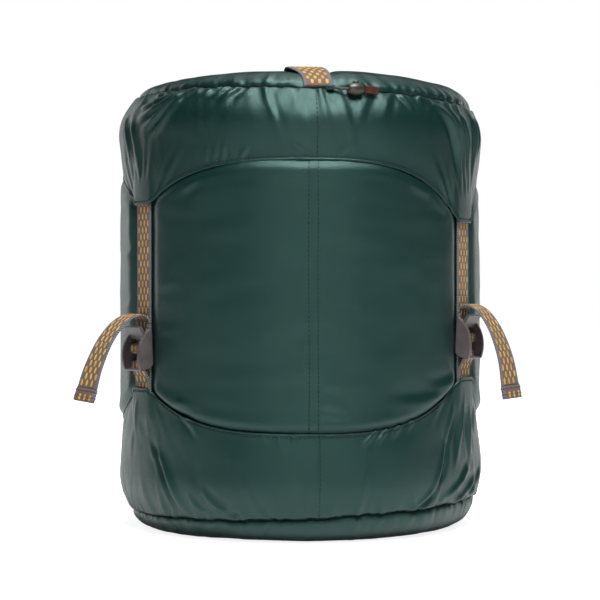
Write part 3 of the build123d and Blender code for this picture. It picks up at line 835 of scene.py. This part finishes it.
def even_spots(line, pitch):
    """Middles and headings of even steps along a line of points."""
    run = run_along(line)
    count = max(int(run[-1] / pitch), 1)
    places = (np.arange(count) + 0.5) * run[-1] / count
    ahead = at_places(places + 0.0008, run, line)
    behind = at_places(places - 0.0008, run, line)
    return at_places(places, run, line), ahead - behind


def flipped(faces):
    return [face[::-1] for face in faces]


def seam_shift(angle, name):
    """How far a seam stands from its mean place, along the outline and upwards."""
    tilt = -SEAM_TILT if name == "lid" else SEAM_TILT
    turn = np.radians(angle)
    wave = np.array([noise.noise(Vector((9 * math.sin(t), 9 * math.cos(t), 3 * tilt))) for t in turn])
    fine = np.array([noise.noise(Vector((31 * math.sin(t), 31 * math.cos(t), 5.0))) for t in turn])
    return tilt * np.sin(turn) + SEAM_WAVE * (0.8 * wave + 0.9 * fine)


class Cover(Cloth):
    """The lid's or the base's cloth, from the skirt's edge over the seam to the middle of
    its disc, with the folds that the ears and the seam pull into it."""

    SKIRT_ROWS = 34
    DISC_ROWS = 26
    MIDDLE_R = 0.004

    def __init__(self, name):
        super().__init__(COLUMNS)
        self.name = name
        lid = name == "lid"
        self.sign = 1.0 if lid else -1.0
        mean = OUTLINE.lid_seam if lid else OUTLINE.base_seam
        self.seam = mean + seam_shift(self.angles, name)
        self.edge = OUTLINE.side_length(edge_height(self.angles, name))
        centre = OUTLINE.top - self.MIDDLE_R if lid else self.MIDDLE_R
        skirt = 1 - (np.linspace(1.0, 0.0, self.SKIRT_ROWS)[:, None]) ** 1.25
        disc = (np.linspace(0.0, 1.0, self.DISC_ROWS + 1)[1:] ** 1.25)[:, None]
        self.lengths = np.concatenate(
            [self.edge + skirt * (self.seam - self.edge), self.seam + disc * (centre - self.seam)]
        )
        self.seam_row = self.SKIRT_ROWS - 1
        self.from_seam = (self.lengths - self.seam) * self.sign  # positive on the disc
        self.from_edge = np.abs(self.lengths - self.edge)
        aside = np.abs(self.lay(0.0) @ np.array(HANDLE_RIGHT))
        above_seam = smoothstep(-0.003, 0.002, self.from_seam)
        self.under_handle = (1 - smoothstep(0.012, 0.018, aside)) * above_seam * lid

    def folds(self):
        """How far each point stands off the plain outline, in metres."""
        angle = np.broadcast_to(self.angles, self.lengths.shape)
        plain = self.lay(0.0)
        off = 0.0014 * soft_noise(plain, 15.0, 3.0) + 0.0007 * soft_noise(plain, 36.0, 9.0)
        off += self.seam_puckers(angle) + self.sculpted(FOLDS[self.name])
        for side in SIDES:
            off += self.ear_folds(angle, plain[..., 2], side)
        off = off * (1 - self.under_handle) - 0.0006 * self.under_handle
        off -= EDGE_PINCH * bell(self.from_edge, 0.011)
        off += 0.0016 * bell(self.from_seam + 0.024, 0.017)
        off += 0.0010 * bell(self.from_seam - 0.014, 0.010)
        for place in VERTICAL_SEAMS[self.name]:
            off -= 0.0006 * bell(wrapped(angle - place), 0.35) * (self.from_seam < 0)
        return off

    def seam_puckers(self, angle):
        """The stitched groove, and the short gathers that cross it."""
        off = -SEAM_GROOVE * bell(self.from_seam, 0.0014)
        place = -180.0
        while place < 180.0:
            spread = RANDOM.uniform(0.9, 1.8)
            slant = RANDOM.uniform(-PUCKER_SLANT, PUCKER_SLANT)
            reach = RANDOM.uniform(0.006, 0.024)
            size = RANDOM.uniform(0.0003, 0.0016)
            shift = wrapped(angle - place - slant * np.abs(self.from_seam))
            fade = np.where(self.from_seam > 0, reach * 0.5, reach)
            fade = np.exp(-np.abs(self.from_seam) / fade)
            ripple = bell(shift, spread) - 0.6 * bell(shift - 1.9 * spread, spread)
            off += size * ripple * fade * (1 - 0.7 * bell(self.from_seam, 0.0012))
            place += RANDOM.uniform(2.2, 6.0)
        return off

    def ear_folds(self, angle, height, side):
        """Ridges that fan out from an ear's tip, where the strap pulls."""
        tip = EARS[self.name][side]
        across = np.radians(wrapped(angle - AZIMUTH[side])) * SIDE_R
        rise = (height - tip) * self.sign + 0.022
        turn = np.degrees(np.arctan2(across, np.maximum(rise, 1e-4)))
        reach = np.hypot(across, rise)
        off = np.zeros_like(across)
        centre = -EAR_FAN
        while centre < EAR_FAN:
            width = RANDOM.uniform(1.6, 3.2)
            size = RANDOM.uniform(0.0005, 0.0018) * EAR_FOLD_STRENGTH[side]
            length = RANDOM.uniform(0.045, 0.095)
            bend = RANDOM.uniform(-60.0, 60.0)
            shift = turn - centre - bend * (reach - 0.04)
            along = smoothstep(0.018, 0.040, reach) * (1 - smoothstep(length * 0.6, length, reach))
            off += size * along * (bell(shift, width) - 0.7 * bell(shift - 1.8 * width, width))
            centre += RANDOM.uniform(5.0, 11.0)
        return off

    def settle(self):
        plain = self.kept_clear(self.lay(self.folds()))
        faces = grid_faces(*self.lengths.shape)
        faces = faces if self.sign > 0 else flipped(faces)
        trial = new_piece(f"{self.name}_trial", plain.reshape(-1, 3), faces, NYLON)
        near_seam = bell(self.from_seam, 0.03)
        middle = LID_SEAM[1] if self.sign > 0 else BASE_SEAM[1]
        rest = plain.copy()
        around, at_seam, upwards = COVER_CUT
        rest[..., 0:2] *= (around + at_seam * near_seam)[..., None]
        rest[..., 2] = middle + (rest[..., 2] - middle) * upwards
        radius = np.hypot(plain[..., 0], plain[..., 1])
        pins = np.zeros(self.lengths.shape)
        pins[0:2] = 1.0
        pins[self.seam_row] = 1.0
        pins[radius < PINNED_R] = 1.0
        pins = np.maximum(pins, np.round(self.under_handle, 1))
        if self.sign < 0:
            pins[plain[..., 2] < FLAT_Z] = 1.0
        settled = settle_cloth(trial, rest.reshape(-1, 3), pins.ravel(), COVER_CAP)
        bpy.data.objects.remove(trial)
        self.points = self.kept_clear(settled.reshape(plain.shape))

    def kept_clear(self, points):
        """The skirt stays outside the tube and the webbing, and the base above the floor."""
        points = points.copy()
        angle = np.broadcast_to(self.angles, self.lengths.shape)
        radius = np.hypot(points[..., 0], points[..., 1])
        floor = np.full(radius.shape, TUBE_R + COVER_GAP)
        for side in SIDES:
            over = 1 - smoothstep(4.8, 9.0, strap_distance(angle, side))
            near = 1 - smoothstep(UNDER_EAR, UNDER_EAR + 0.020, self.from_edge)
            rise = UNDER_EAR_RISE[self.name] * over * near
            floor = np.maximum(floor, TUBE_R + COVER_GAP + rise)
        side = (points[..., 2] > HEEL_Z) & (points[..., 2] < SHOULDER_Z)
        push = np.where(side & (radius < floor), floor / np.maximum(radius, 1e-6), 1.0)
        points[..., 0] *= push
        points[..., 1] *= push
        points[..., 2] = np.maximum(points[..., 2], FOOT_CLEAR)
        return points

    def dress(self):
        """The skirt, the disc, the rolled hem and the rows of stitches."""
        body = self.name
        skirt = self.piece(f"{self.name}_skirt_cloth", 0, self.seam_row, self.sign > 0)
        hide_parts(f"{self.name}_skirt")
        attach(skirt, body)
        top = self.points[-1].mean(axis=0)
        last = len(self.lengths) - 1
        disc = self.piece(f"{self.name}_disc_cloth", self.seam_row, last, self.sign > 0, top)
        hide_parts(f"{self.name}_disc")
        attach(disc, body)
        self.add_bead(body)
        around = np.arange(0, 721) * 0.5 - 180.0
        seam = np.interp(around, self.angles, self.seam, period=360.0)
        edge = np.interp(around, self.angles, self.edge, period=360.0)
        self.stitch(f"{self.name}_seam_stitches", list(zip(around, seam)), body)
        hem = edge + self.sign * HEM_STITCH_IN
        self.stitch(f"{self.name}_hem_stitches", list(zip(around, hem)), body)
        for k, place in enumerate(VERTICAL_SEAMS[self.name]):
            low = np.interp(place, self.angles, self.edge)
            high = np.interp(place, self.angles, self.seam)
            line = [
                (place + 0.12 * math.sin(5 * t), low + t * (high - low))
                for t in np.linspace(0, 1, 30)
            ]
            self.stitch(f"{self.name}_front_stitches_{k + 1}", line, body)

    def add_bead(self, body):
        """The hem's rolled edge."""
        line = self.points[0]
        outward = line * np.array([1, 1, 0]) / np.hypot(line[:, 0], line[:, 1])[:, None]
        heading = unit(np.roll(line, -1, axis=0) - np.roll(line, 1, axis=0))
        down = np.cross(outward, heading)
        points, uv = [], []
        sides = 10
        across = 1000 * SIDE_R * np.radians(self.angles)
        for k in range(sides):
            turn = 2 * math.pi * k / sides
            spoke = outward * (math.cos(turn) - BEAD_INSET) + down * math.sin(turn)
            points.append(line + BEAD_R * spoke)
            uv.append(np.stack([across, np.full(self.columns, k * 0.5)], 1))
        faces = flipped(grid_faces(sides, self.columns, ring=True))
        points, uv = np.concatenate(points), np.concatenate(uv)
        bead = new_piece(f"{self.name}_hem_roll", points, faces, NYLON, uv)
        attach(bead, body)


class Side(Cloth):
    """The sack's own side, bulging between the straps and over the covers' edges."""

    ROWS = 64
    UNDER = 0.014

    def __init__(self):
        super().__init__(SIDE_COLUMNS)
        low = OUTLINE.side_length(edge_height(self.angles, "base")) - self.UNDER
        high = OUTLINE.side_length(edge_height(self.angles, "lid")) + self.UNDER
        share = np.linspace(0.0, 1.0, self.ROWS)
        share = 0.5 - 0.5 * np.cos(math.pi * (0.12 + 0.76 * share)) / math.cos(0.12 * math.pi)
        self.lengths = low + share[:, None] * (high - low)

    def settle(self):
        angle = np.broadcast_to(self.angles, self.lengths.shape)
        plain = self.lay(0.0)
        above = plain[..., 2] - edge_height(angle, "base")
        below = edge_height(angle, "lid") - plain[..., 2]
        pinch = smoothstep(0.0, 0.0045, above) * smoothstep(-0.002, 0.007, below)
        bulge = np.ones_like(pinch)
        for side in SIDES:
            bulge = np.minimum(bulge, smoothstep(4.4, 9.5, strap_distance(angle, side)))
        off = TUBE_R - SIDE_R + BULGE * bulge * (0.12 + 0.88 * pinch)
        off += 0.0009 * soft_noise(plain * np.array([1, 1, 1.8]), 14.0, 21.0) * bulge * pinch
        off += 0.0005 * soft_noise(plain * np.array([1, 1, 3.0]), 30.0, 5.0) * bulge * pinch
        off += self.sculpted(FOLDS["side"]) * pinch
        off -= 0.0010 * bell(above, 0.0022) * bulge
        off += 0.0012 * bell(above - 0.0065, 0.006) * bulge
        for place in VERTICAL_SEAMS["side"]:
            off -= 0.0005 * bell(wrapped(angle - place), 0.35)
        start = self.lay(off)
        trial = new_piece("side_trial", start.reshape(-1, 3), grid_faces(*self.lengths.shape), NYLON)
        rest = start.copy()
        around, upwards = SIDE_CUT
        rest[..., 0:2] *= around
        rest[..., 2] = SIDE_MIDDLE_Z + (rest[..., 2] - SIDE_MIDDLE_Z) * upwards
        pins = np.where((pinch < 0.2) | (bulge < 0.05), 1.0, 0.0)
        settled = settle_cloth(trial, rest.reshape(-1, 3), pins.ravel(), SIDE_CAP)
        bpy.data.objects.remove(trial)
        self.points = settled.reshape(start.shape)

    def dress(self):
        piece = self.piece("sack_side", 0, self.ROWS - 1, True)
        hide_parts("sack_tube")
        cross_lid_slide(piece)
        low, high = BASE_EDGE_Z + 0.001, LID_EDGE_Z - 0.001
        for k, place in enumerate(VERTICAL_SEAMS["side"]):
            spots = [
                (place + 0.1 * math.sin(7 * t + k), OUTLINE.side_length(low + t * (high - low)))
                for t in np.linspace(0, 1, 60)
            ]
            cross_lid_slide(self.stitch(f"side_front_stitches_{k + 1}", spots, None))


def cross_lid_slide(piece):
    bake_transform(piece)


# ---- Webbing ----
def smooth_path(points, step=0.0012):
    """An even, rounded path through given points."""
    points = np.array(points, float)
    ends = np.concatenate([[2 * points[0] - points[1]], points, [2 * points[-1] - points[-2]]])
    dense = []
    for a, b, c, d in zip(ends, ends[1:], ends[2:], ends[3:]):
        for t in np.linspace(0, 1, 24, endpoint=False):
            curve = 2 * b + (c - a) * t + (2 * a - 5 * b + 4 * c - d) * t**2
            dense.append(0.5 * (curve + (3 * b - a - 3 * c + d) * t**3))
    dense = np.array(dense + [points[-1]])
    run = run_along(dense)
    count = max(int(run[-1] / step), 4)
    even = np.linspace(0, run[-1], count + 1)
    return np.stack([np.interp(even, run, dense[:, k]) for k in range(dense.shape[1])], 1)


def webbing(name, path, across, width=WEBBING_WIDTH, start=0.0, thick=WEBBING, over=(False, False)):
    """A band along path, with rounded selvedges and a raised float for each dash of its
    pattern. across is the direction of its width at each point of the path, start how far
    along its strap it begins, and over says at which ends its pattern may hang over."""
    path = np.array(path, float)
    across = np.broadcast_to(np.array(across, float), path.shape)
    heading = unit(np.gradient(path, axis=0))
    across = unit(across - (across * heading).sum(1, keepdims=True) * heading)
    face = np.cross(across, heading)
    run = run_along(path) + start
    half = np.broadcast_to(width, len(path)) / 2
    stations = [-1.0, -0.985, -0.93, -0.6, -0.3, 0.0, 0.3, 0.6, 0.93, 0.985, 1.0]
    section = [(s, 0.5 if abs(s) < 0.97 else (0.38 if abs(s) < 0.99 else 0.0)) for s in stations]
    ring = section + [(s, -h) for s, h in reversed(section[1:-1])]
    points, uv = [], []
    for k in range(len(path)):
        for s, h in ring:
            points.append(path[k] + across[k] * s * half[k] + face[k] * h * thick)
            uv.append((1000 * s * WEBBING_WIDTH / 2, 1000 * run[k]))
    faces = grid_faces(len(path), len(ring))
    last = (len(path) - 1) * len(ring)
    faces += [tuple(range(len(ring)))[::-1], tuple(last + i for i in range(len(ring)))]
    slots = [0] * len(faces)
    lines = extended(path, across, face, half, run, 2 * FLOAT_HALF[1])
    first = run[0] + (0.0 if over[0] else FLOAT_HALF[1])
    last = run[-1] - (0.0 if over[1] else FLOAT_HALF[1])
    row = math.ceil(first / FLOAT_PITCH)
    while row * FLOAT_PITCH < last:
        for column in (-1, 0, 1):
            aside = (column + (0.25 if row % 2 else -0.25)) * FLOAT_SPACING
            for side in (1, -1):
                add_float(points, uv, faces, lines, row * FLOAT_PITCH, aside, side, thick)
        row += 1
    slots += [1] * (len(faces) - len(slots))
    return new_piece(name, points, faces, GROUND, uv, slots, [DASH])


def extended(path, across, face, half, run, beyond):
    """A band's lines, carried on straight past both its ends."""
    before, after = path[0] - path[1], path[-1] - path[-2]
    first = path[0] + before * beyond / np.linalg.norm(before)
    last = path[-1] + after * beyond / np.linalg.norm(after)
    path = np.concatenate([[first], path, [last]])
    across, face, half = (
        np.concatenate([line[:1], line, line[-1:]]) for line in (across, face, half)
    )
    run = np.concatenate([[run[0] - beyond], run, [run[-1] + beyond]])
    return path, across, face, half, run


def add_float(points, uv, faces, lines, middle, aside, side, thick):
    """One golden float, a low mound on one face of a band."""
    path, across, face, half, run = lines
    first = len(points)
    for reach, lift in FLOAT_RINGS:
        for x, y in FLOAT_OUTLINE if reach else [(0, 0)]:
            place = middle + reach * y * FLOAT_HALF[1]
            wide = aside + reach * x * FLOAT_HALF[0]
            spot, away, normal = (at_places(place, run, line) for line in (path, across, face))
            scale = np.interp(place, run, half) / (WEBBING_WIDTH / 2)
            height = side * (thick * 0.5 + lift * 0.001)
            points.append(spot + away * wide * scale + normal * height)
            uv.append((1000 * wide, 1000 * place))
    for k in range(8):
        after = (k + 1) % 8
        quad = (first + k, first + after, first + 8 + after, first + 8 + k)
        tip = (first + 8 + k, first + 8 + after, first + 16)
        faces.extend([quad, tip] if side > 0 else [quad[::-1], tip[::-1]])


class Strap:
    """One strap's own frame: u out from the tube, v up from its pivot bar, w to the right."""

    def __init__(self, side):
        self.pivot = Vector(JOINTS[f"ladder_lock_{side}_tilt"]["pos_m"])
        self.out = Vector((self.pivot.x, self.pivot.y, 0)).normalized()
        self.across = UP.cross(self.out)
        self.foot = self.pivot - self.out * PIVOT_OUT
        self.lid_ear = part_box(f"strap_run_{side}")[1].z - UNDER_EAR
        self.base_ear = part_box(f"buckle_loop_{side}")[0].z + UNDER_EAR

    def point(self, u, v, w=0.0):
        return np.array(self.foot + self.out * u + UP * v + self.across * w)

    def path(self, route):
        return np.array([self.point(u, v) for u, v in smooth_path(route)])


def build_strap(side):
    strap = Strap(side)
    across = np.array(strap.across)
    ear_v = strap.base_ear - strap.pivot.z
    lid_v = strap.lid_ear - strap.pivot.z
    body = f"ladder_lock_{side}"
    loop = [(RUN_OUT, ear_v - 0.012), (RUN_OUT, ear_v), (RUN_OUT, -0.004), (0.00090, 0.0)]
    turn = [
        (PIVOT_OUT - LOOP_R * math.cos(a), LOOP_R * math.sin(a))
        for a in np.radians([30, 60, 90, 120, 150, 180])
    ]
    fall = [
        (0.0054, -0.0030), (0.0036, -0.0068), (0.0023, -0.0105),
        (0.0021, ear_v + 0.002), (0.00205, ear_v - 0.004),
    ]
    piece = webbing(f"buckle_webbing_{side}", strap.path(loop + turn + fall), across)
    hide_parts(f"buckle_loop_{side}")
    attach(piece, "base")

    wrap = [
        (RUN_OUT, BUCKLE_TOP), (RUN_OUT, 0.020), (RUN_OUT, 0.0105), (0.0016, 0.0083),
        (0.0035, 0.0079), (0.0056, 0.0082), (0.0064, 0.0095), (0.0064, 0.0126),
        (0.0057, 0.0139), (0.0040, 0.0141), (0.0026, 0.0146), (0.00215, 0.0165),
        (RETURN_OUT, 0.0215), (RETURN_OUT, BUCKLE_TOP),
    ]
    start = 0.1 * FLOAT_PITCH
    path = strap.path(wrap)
    piece = webbing(f"threaded_webbing_{side}", path, across, start=start, over=(True, True))
    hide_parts(f"strap_wrap_{side}")
    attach(piece, body)

    top = lid_v + 0.012
    joint_v = BUCKLE_TOP + LOWER_RUN
    lower = [(RUN_OUT, BUCKLE_TOP), (RUN_OUT, BUCKLE_TOP + 0.5 * LOWER_RUN), (RUN_OUT, joint_v)]
    piece = webbing(f"strap_foot_{side}", strap.path(lower), across, over=(True, True))
    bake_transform(piece)
    upper = [(RUN_OUT, joint_v), (RUN_OUT, 0.5 * (BUCKLE_TOP + top)), (RUN_OUT, top)]
    path = strap.path(upper)
    piece = webbing(f"strap_upper_{side}", path, across, start=LOWER_RUN, over=(True, False))
    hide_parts(f"strap_run_{side}")
    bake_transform(piece)
    build_tail(side, strap, across)


def build_tail(side, strap, across):
    """The free tail and its folded, twice-stitched end, twisted a little to the front."""
    route = TAILS[side]
    path = strap.path(route)
    twist = math.radians(TAIL_TWIST[side])
    share = np.linspace(0, 1, len(path)) ** 1.5
    heading = unit(np.gradient(path, axis=0))
    normal = np.cross(np.broadcast_to(across, path.shape), heading)
    turned = across * np.cos(twist * share)[:, None] + normal * np.sin(twist * share)[:, None]
    piece = webbing(f"tail_webbing_{side}", path, turned, start=TAIL_START)
    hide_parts(f"strap_tail_{side}")
    strap.point(*route[0])
    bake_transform(piece)

    fall = heading[-1]
    end = path[-1] + fall * HEM_RUN
    hem_path = smooth_path([path[-1] - fall * 0.0002, path[-1] + fall * 0.5 * HEM_RUN, end])
    hem = webbing(f"tail_hem_{side}", hem_path, turned[-1], start=HEM_START, thick=HEM_THICK)
    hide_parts(f"strap_hem_{side}")
    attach(hem, f"strap_end_{side}")
    face = np.cross(turned[-1], fall)
    for k, place in enumerate(HEM_SEAMS):
        spots = [
            path[-1] + fall * place + turned[-1] * w * 0.0019 + face * 0.00136 * s
            for s in (1, -1)
            for w in range(-5, 6)
        ]
        headings = [turned[-1]] * len(spots)
        seam = stitches(f"hem_stitch_{side}_{k + 1}", spots, 0.0016, 0.00030, BROWN_THREAD, headings)
        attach(seam, f"strap_end_{side}")


def stitches(name, spots, length, radius, material, headings):
    """A row of separate stitches: each a short thread, thin at its ends."""
    points, faces = [], []
    for spot, heading in zip(spots, headings):
        along = np.array(heading, float) / np.linalg.norm(heading)
        helper = np.array([0.0, 0.0, 1.0]) if abs(along[2]) < 0.9 else np.array([1.0, 0.0, 0.0])
        side = np.cross(along, helper)
        side /= np.linalg.norm(side)
        other = np.cross(along, side)
        first = len(points)
        for reach, wide in ((-0.5, 0.35), (-0.3, 1.0), (0.3, 1.0), (0.5, 0.35)):
            for k in range(6):
                turn = k * math.pi / 3
                spoke = side * math.cos(turn) + other * math.sin(turn)
                points.append(np.array(spot) + along * reach * length + radius * wide * spoke)
        for ring in range(3):
            for k in range(6):
                after = (k + 1) % 6
                a, b = first + ring * 6, first + ring * 6 + 6
                faces.append((a + k, a + after, b + after, b + k))
        faces.append(tuple(first + k for k in range(6))[::-1])
        faces.append(tuple(first + 18 + k for k in range(6)))
    return new_piece(name, points, faces, material)


# ---- Handle, cord and small parts ----
def build_handle():
    turn = math.radians(HANDLE_AZIMUTH)
    away = np.array([math.sin(turn), -math.cos(turn), 0.0])
    right = np.array(HANDLE_RIGHT)
    route = HANDLE_ROUTE + [(-r, z) for r, z in reversed(HANDLE_ROUTE[:-1])]
    flat = smooth_path(route, 0.002)
    reach = np.abs(flat[:, 0])
    free = 1 - smoothstep(*HANDLE_BEND, reach)
    path = np.array([away * r + np.array([0, 0, z]) for r, z in flat])
    side = np.sin(math.pi / 2 * np.clip(flat[:, 0] / HANDLE_BEND[0], -1, 1))
    path = path - right * (HANDLE_SKEW * free * side)[:, None]
    width = HANDLE_END_WIDE + (HANDLE_WIDE - HANDLE_END_WIDE) * free
    piece = webbing("handle_webbing", path, right, width=width)
    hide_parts("grab_handle")
    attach(piece, "lid")
    for end in (0, -1):
        middle = path[end] + np.array([0, 0, 0.0009]) + away * 0.0004 * (1 + 2 * end)
        across = [middle + right * w * 0.0024 for w in range(-3, 4)]
        headings = [right] * len(across)
        bar = stitches(f"handle_stitch_{1 - end}", across, 0.0019, 0.0004, BROWN_THREAD, headings)
        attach(bar, "lid")


def build_cord():
    turn = math.radians(CORD_AZIMUTH)
    out = np.array([math.sin(turn), -math.cos(turn), 0.0])
    along = np.array([math.cos(turn), math.sin(turn), 0.0])
    middle = out * CORD_RADIUS + np.array([0, 0, CORD_Z])
    points = [middle + along * a + out * o + np.array([0, 0, z]) for a, o, z in CORD_ROUTE]
    curve = bpy.data.curves.new("drawcord_line", "CURVE")
    curve.dimensions = "3D"
    curve.bevel_depth = CORD_DIAMETER / 2
    curve.bevel_resolution = 4
    curve.resolution_u = 12
    curve.use_fill_caps = True
    spline = curve.splines.new("NURBS")
    spline.points.add(len(points) - 1)
    for point, place in zip(spline.points, points):
        point.co = (*place, 1.0)
    spline.order_u = 3
    spline.use_endpoint_u = True
    curve.materials.append(CORD)
    cord = bpy.data.objects.new("drawcord_line", curve)
    bpy.context.scene.collection.objects.link(cord)
    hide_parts("drawcord")
    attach(cord, "lid")


def dress_cad_nodes():
    looks = {f"ladder_lock_{side}": BUCKLE for side in SIDES}
    looks.update(cord_lock_barrel=LOCK, cord_lock_plunger=LOCK, cord_tab=LEATHER, drawcord_sleeve=NYLON)
    for node, material in looks.items():
        set_material(frame["nodes"][node], material)


def build_spring():
    """The cord lock's spring, copied from its CAD node, in steel."""
    spring = copied_node("lock_spring", "cord_lock_spring", STEEL)
    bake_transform(spring)


# ---- Under the lid ----
def build_inside():
    """The gathered top with its hem and cord, and the stuffing; the lid hides them."""
    angles = np.arange(MOUTH_COLUMNS) * 360.0 / MOUTH_COLUMNS - 180.0
    length = np.linspace(OUTLINE.top - MOUTH_REACH, OUTLINE.lid_seam + 0.004, MOUTH_ROWS)[:, None]
    radius, outline_z, _, _ = OUTLINE.at(length)
    pleat = np.sin(np.radians(angles * PLEATS))[None, :] * PLEAT_DEPTH * (1 - radius / 0.125)
    height = outline_z - MOUTH_INSET + pleat
    angle = np.repeat(angles[None, :], MOUTH_ROWS, axis=0)
    radius = np.repeat(radius, MOUTH_COLUMNS, axis=1)
    points = ring_position(angle, radius, height).reshape(-1, 3)
    uv = np.stack([1000 * np.radians(angle) * 0.06, 1000 * radius], -1).reshape(-1, 2)
    faces = flipped(grid_faces(MOUTH_ROWS, MOUTH_COLUMNS))
    top = new_piece("gathered_top", points, faces, NYLON, uv)
    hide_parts("sack_mouth")
    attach(top, "lid")
    low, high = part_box("mouth_hem")
    centre_z, ring_r = (low.z + high.z) / 2, high.x - (high.z - low.z) / 2
    for name, node, thick, gathered, material, slot in (
        ("mouth_hem_cloth", "mouth_hem", 0.0027, HEM_GATHER, NYLON, "coated_nylon"),
        ("mouth_cord", "mouth_drawcord", 0.0013, 0.0, CORD, "cord"),
    ):
        points, uv = [], []
        for a in angles:
            size = thick * (1 + gathered * math.sin(math.radians(a * PLEATS)))
            for k in range(12):
                turn = k * math.pi / 6
                r, z = ring_r + size * math.cos(turn), centre_z + size * math.sin(turn)
                points.append(ring_position(np.array(a), r, z))
                uv.append((1000 * math.radians(a) * ring_r, 1000 * thick * turn))
        piece = new_piece(name, points, grid_faces(MOUTH_COLUMNS, 12, ring=True), material, uv)
        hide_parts(node)
        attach(piece, "lid")
    stuffing = copied_node("stuffing", "packed_contents", STUFFING)
    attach(stuffing, "base")
    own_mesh(stuffing)


# ---- Floor and light ----
def add_stage():
    n = Nodes("floor_paper")
    tone = n.noise(n.place(), 3.0, 2.0)
    n.colour(n.mix(n.ramp(tone, 0.3, 0.7), (0.88, 0.88, 0.88), (0.92, 0.92, 0.92)))
    n.set(Roughness=0.9, Specular_IOR_Level=0.1)
    n.shader.inputs["Emission Color"].default_value = (1.0, 1.0, 1.0, 1.0)
    away = n.add("ShaderNodeVectorMath", operation="LENGTH")
    n.link(n.place(), away.inputs[0])
    shown = n.ramp(away.outputs["Value"], 0.25, 1.1, 0.85, 1.0)
    seen = n.add("ShaderNodeLightPath").outputs["Is Camera Ray"]
    glow = n.math("MULTIPLY", shown, n.ramp(seen, 0.0, 1.0, FLOOR_LIGHT, 1.0))
    n.link(glow, n.shader.inputs["Emission Strength"])
    corners = [(-8, -8, 0), (8, -8, 0), (8, 8, 0), (-8, 8, 0)]
    floor = new_piece("floor", corners, [(0, 1, 2, 3)], n.material)
    world = bpy.data.worlds.new("studio")
    world.use_nodes = True
    tree = world.node_tree
    seen = tree.nodes.new("ShaderNodeLightPath")
    strength = tree.nodes.new("ShaderNodeMapRange")
    strength.inputs["To Min"].default_value = ROOM_LIGHT
    strength.inputs["To Max"].default_value = 1.0
    tree.links.new(seen.outputs["Is Camera Ray"], strength.inputs["Value"])
    tree.links.new(strength.outputs[0], tree.nodes["Background"].inputs[1])
    tree.nodes["Background"].inputs[0].default_value = (1.0, 1.0, 1.0, 1.0)
    bpy.context.scene.world = world
    bpy.context.scene.view_settings.view_transform = "Standard"
    for light in LIGHTS:
        add_area(*light)


def add_area(name, place, target, size, power):
    light = bpy.data.lights.new(name, "AREA")
    light.shape = "RECTANGLE"
    light.size, light.size_y = size
    light.energy = power
    lamp = bpy.data.objects.new(name, light)
    bpy.context.scene.collection.objects.link(lamp)
    lamp.location = place
    lamp.rotation_euler = (Vector(target) - Vector(place)).to_track_quat("-Z", "Y").to_euler()


# ---- The object ----
add_camera()
build_spring()
build_cord()
for name in ("lid", "base"):
    cover = Cover(name)
    cover.settle()
    cover.dress()
sack_side = Side()
sack_side.settle()
sack_side.dress()
for side in SIDES:
    build_strap(side)
build_handle()
dress_cad_nodes()
build_inside()
add_stage()
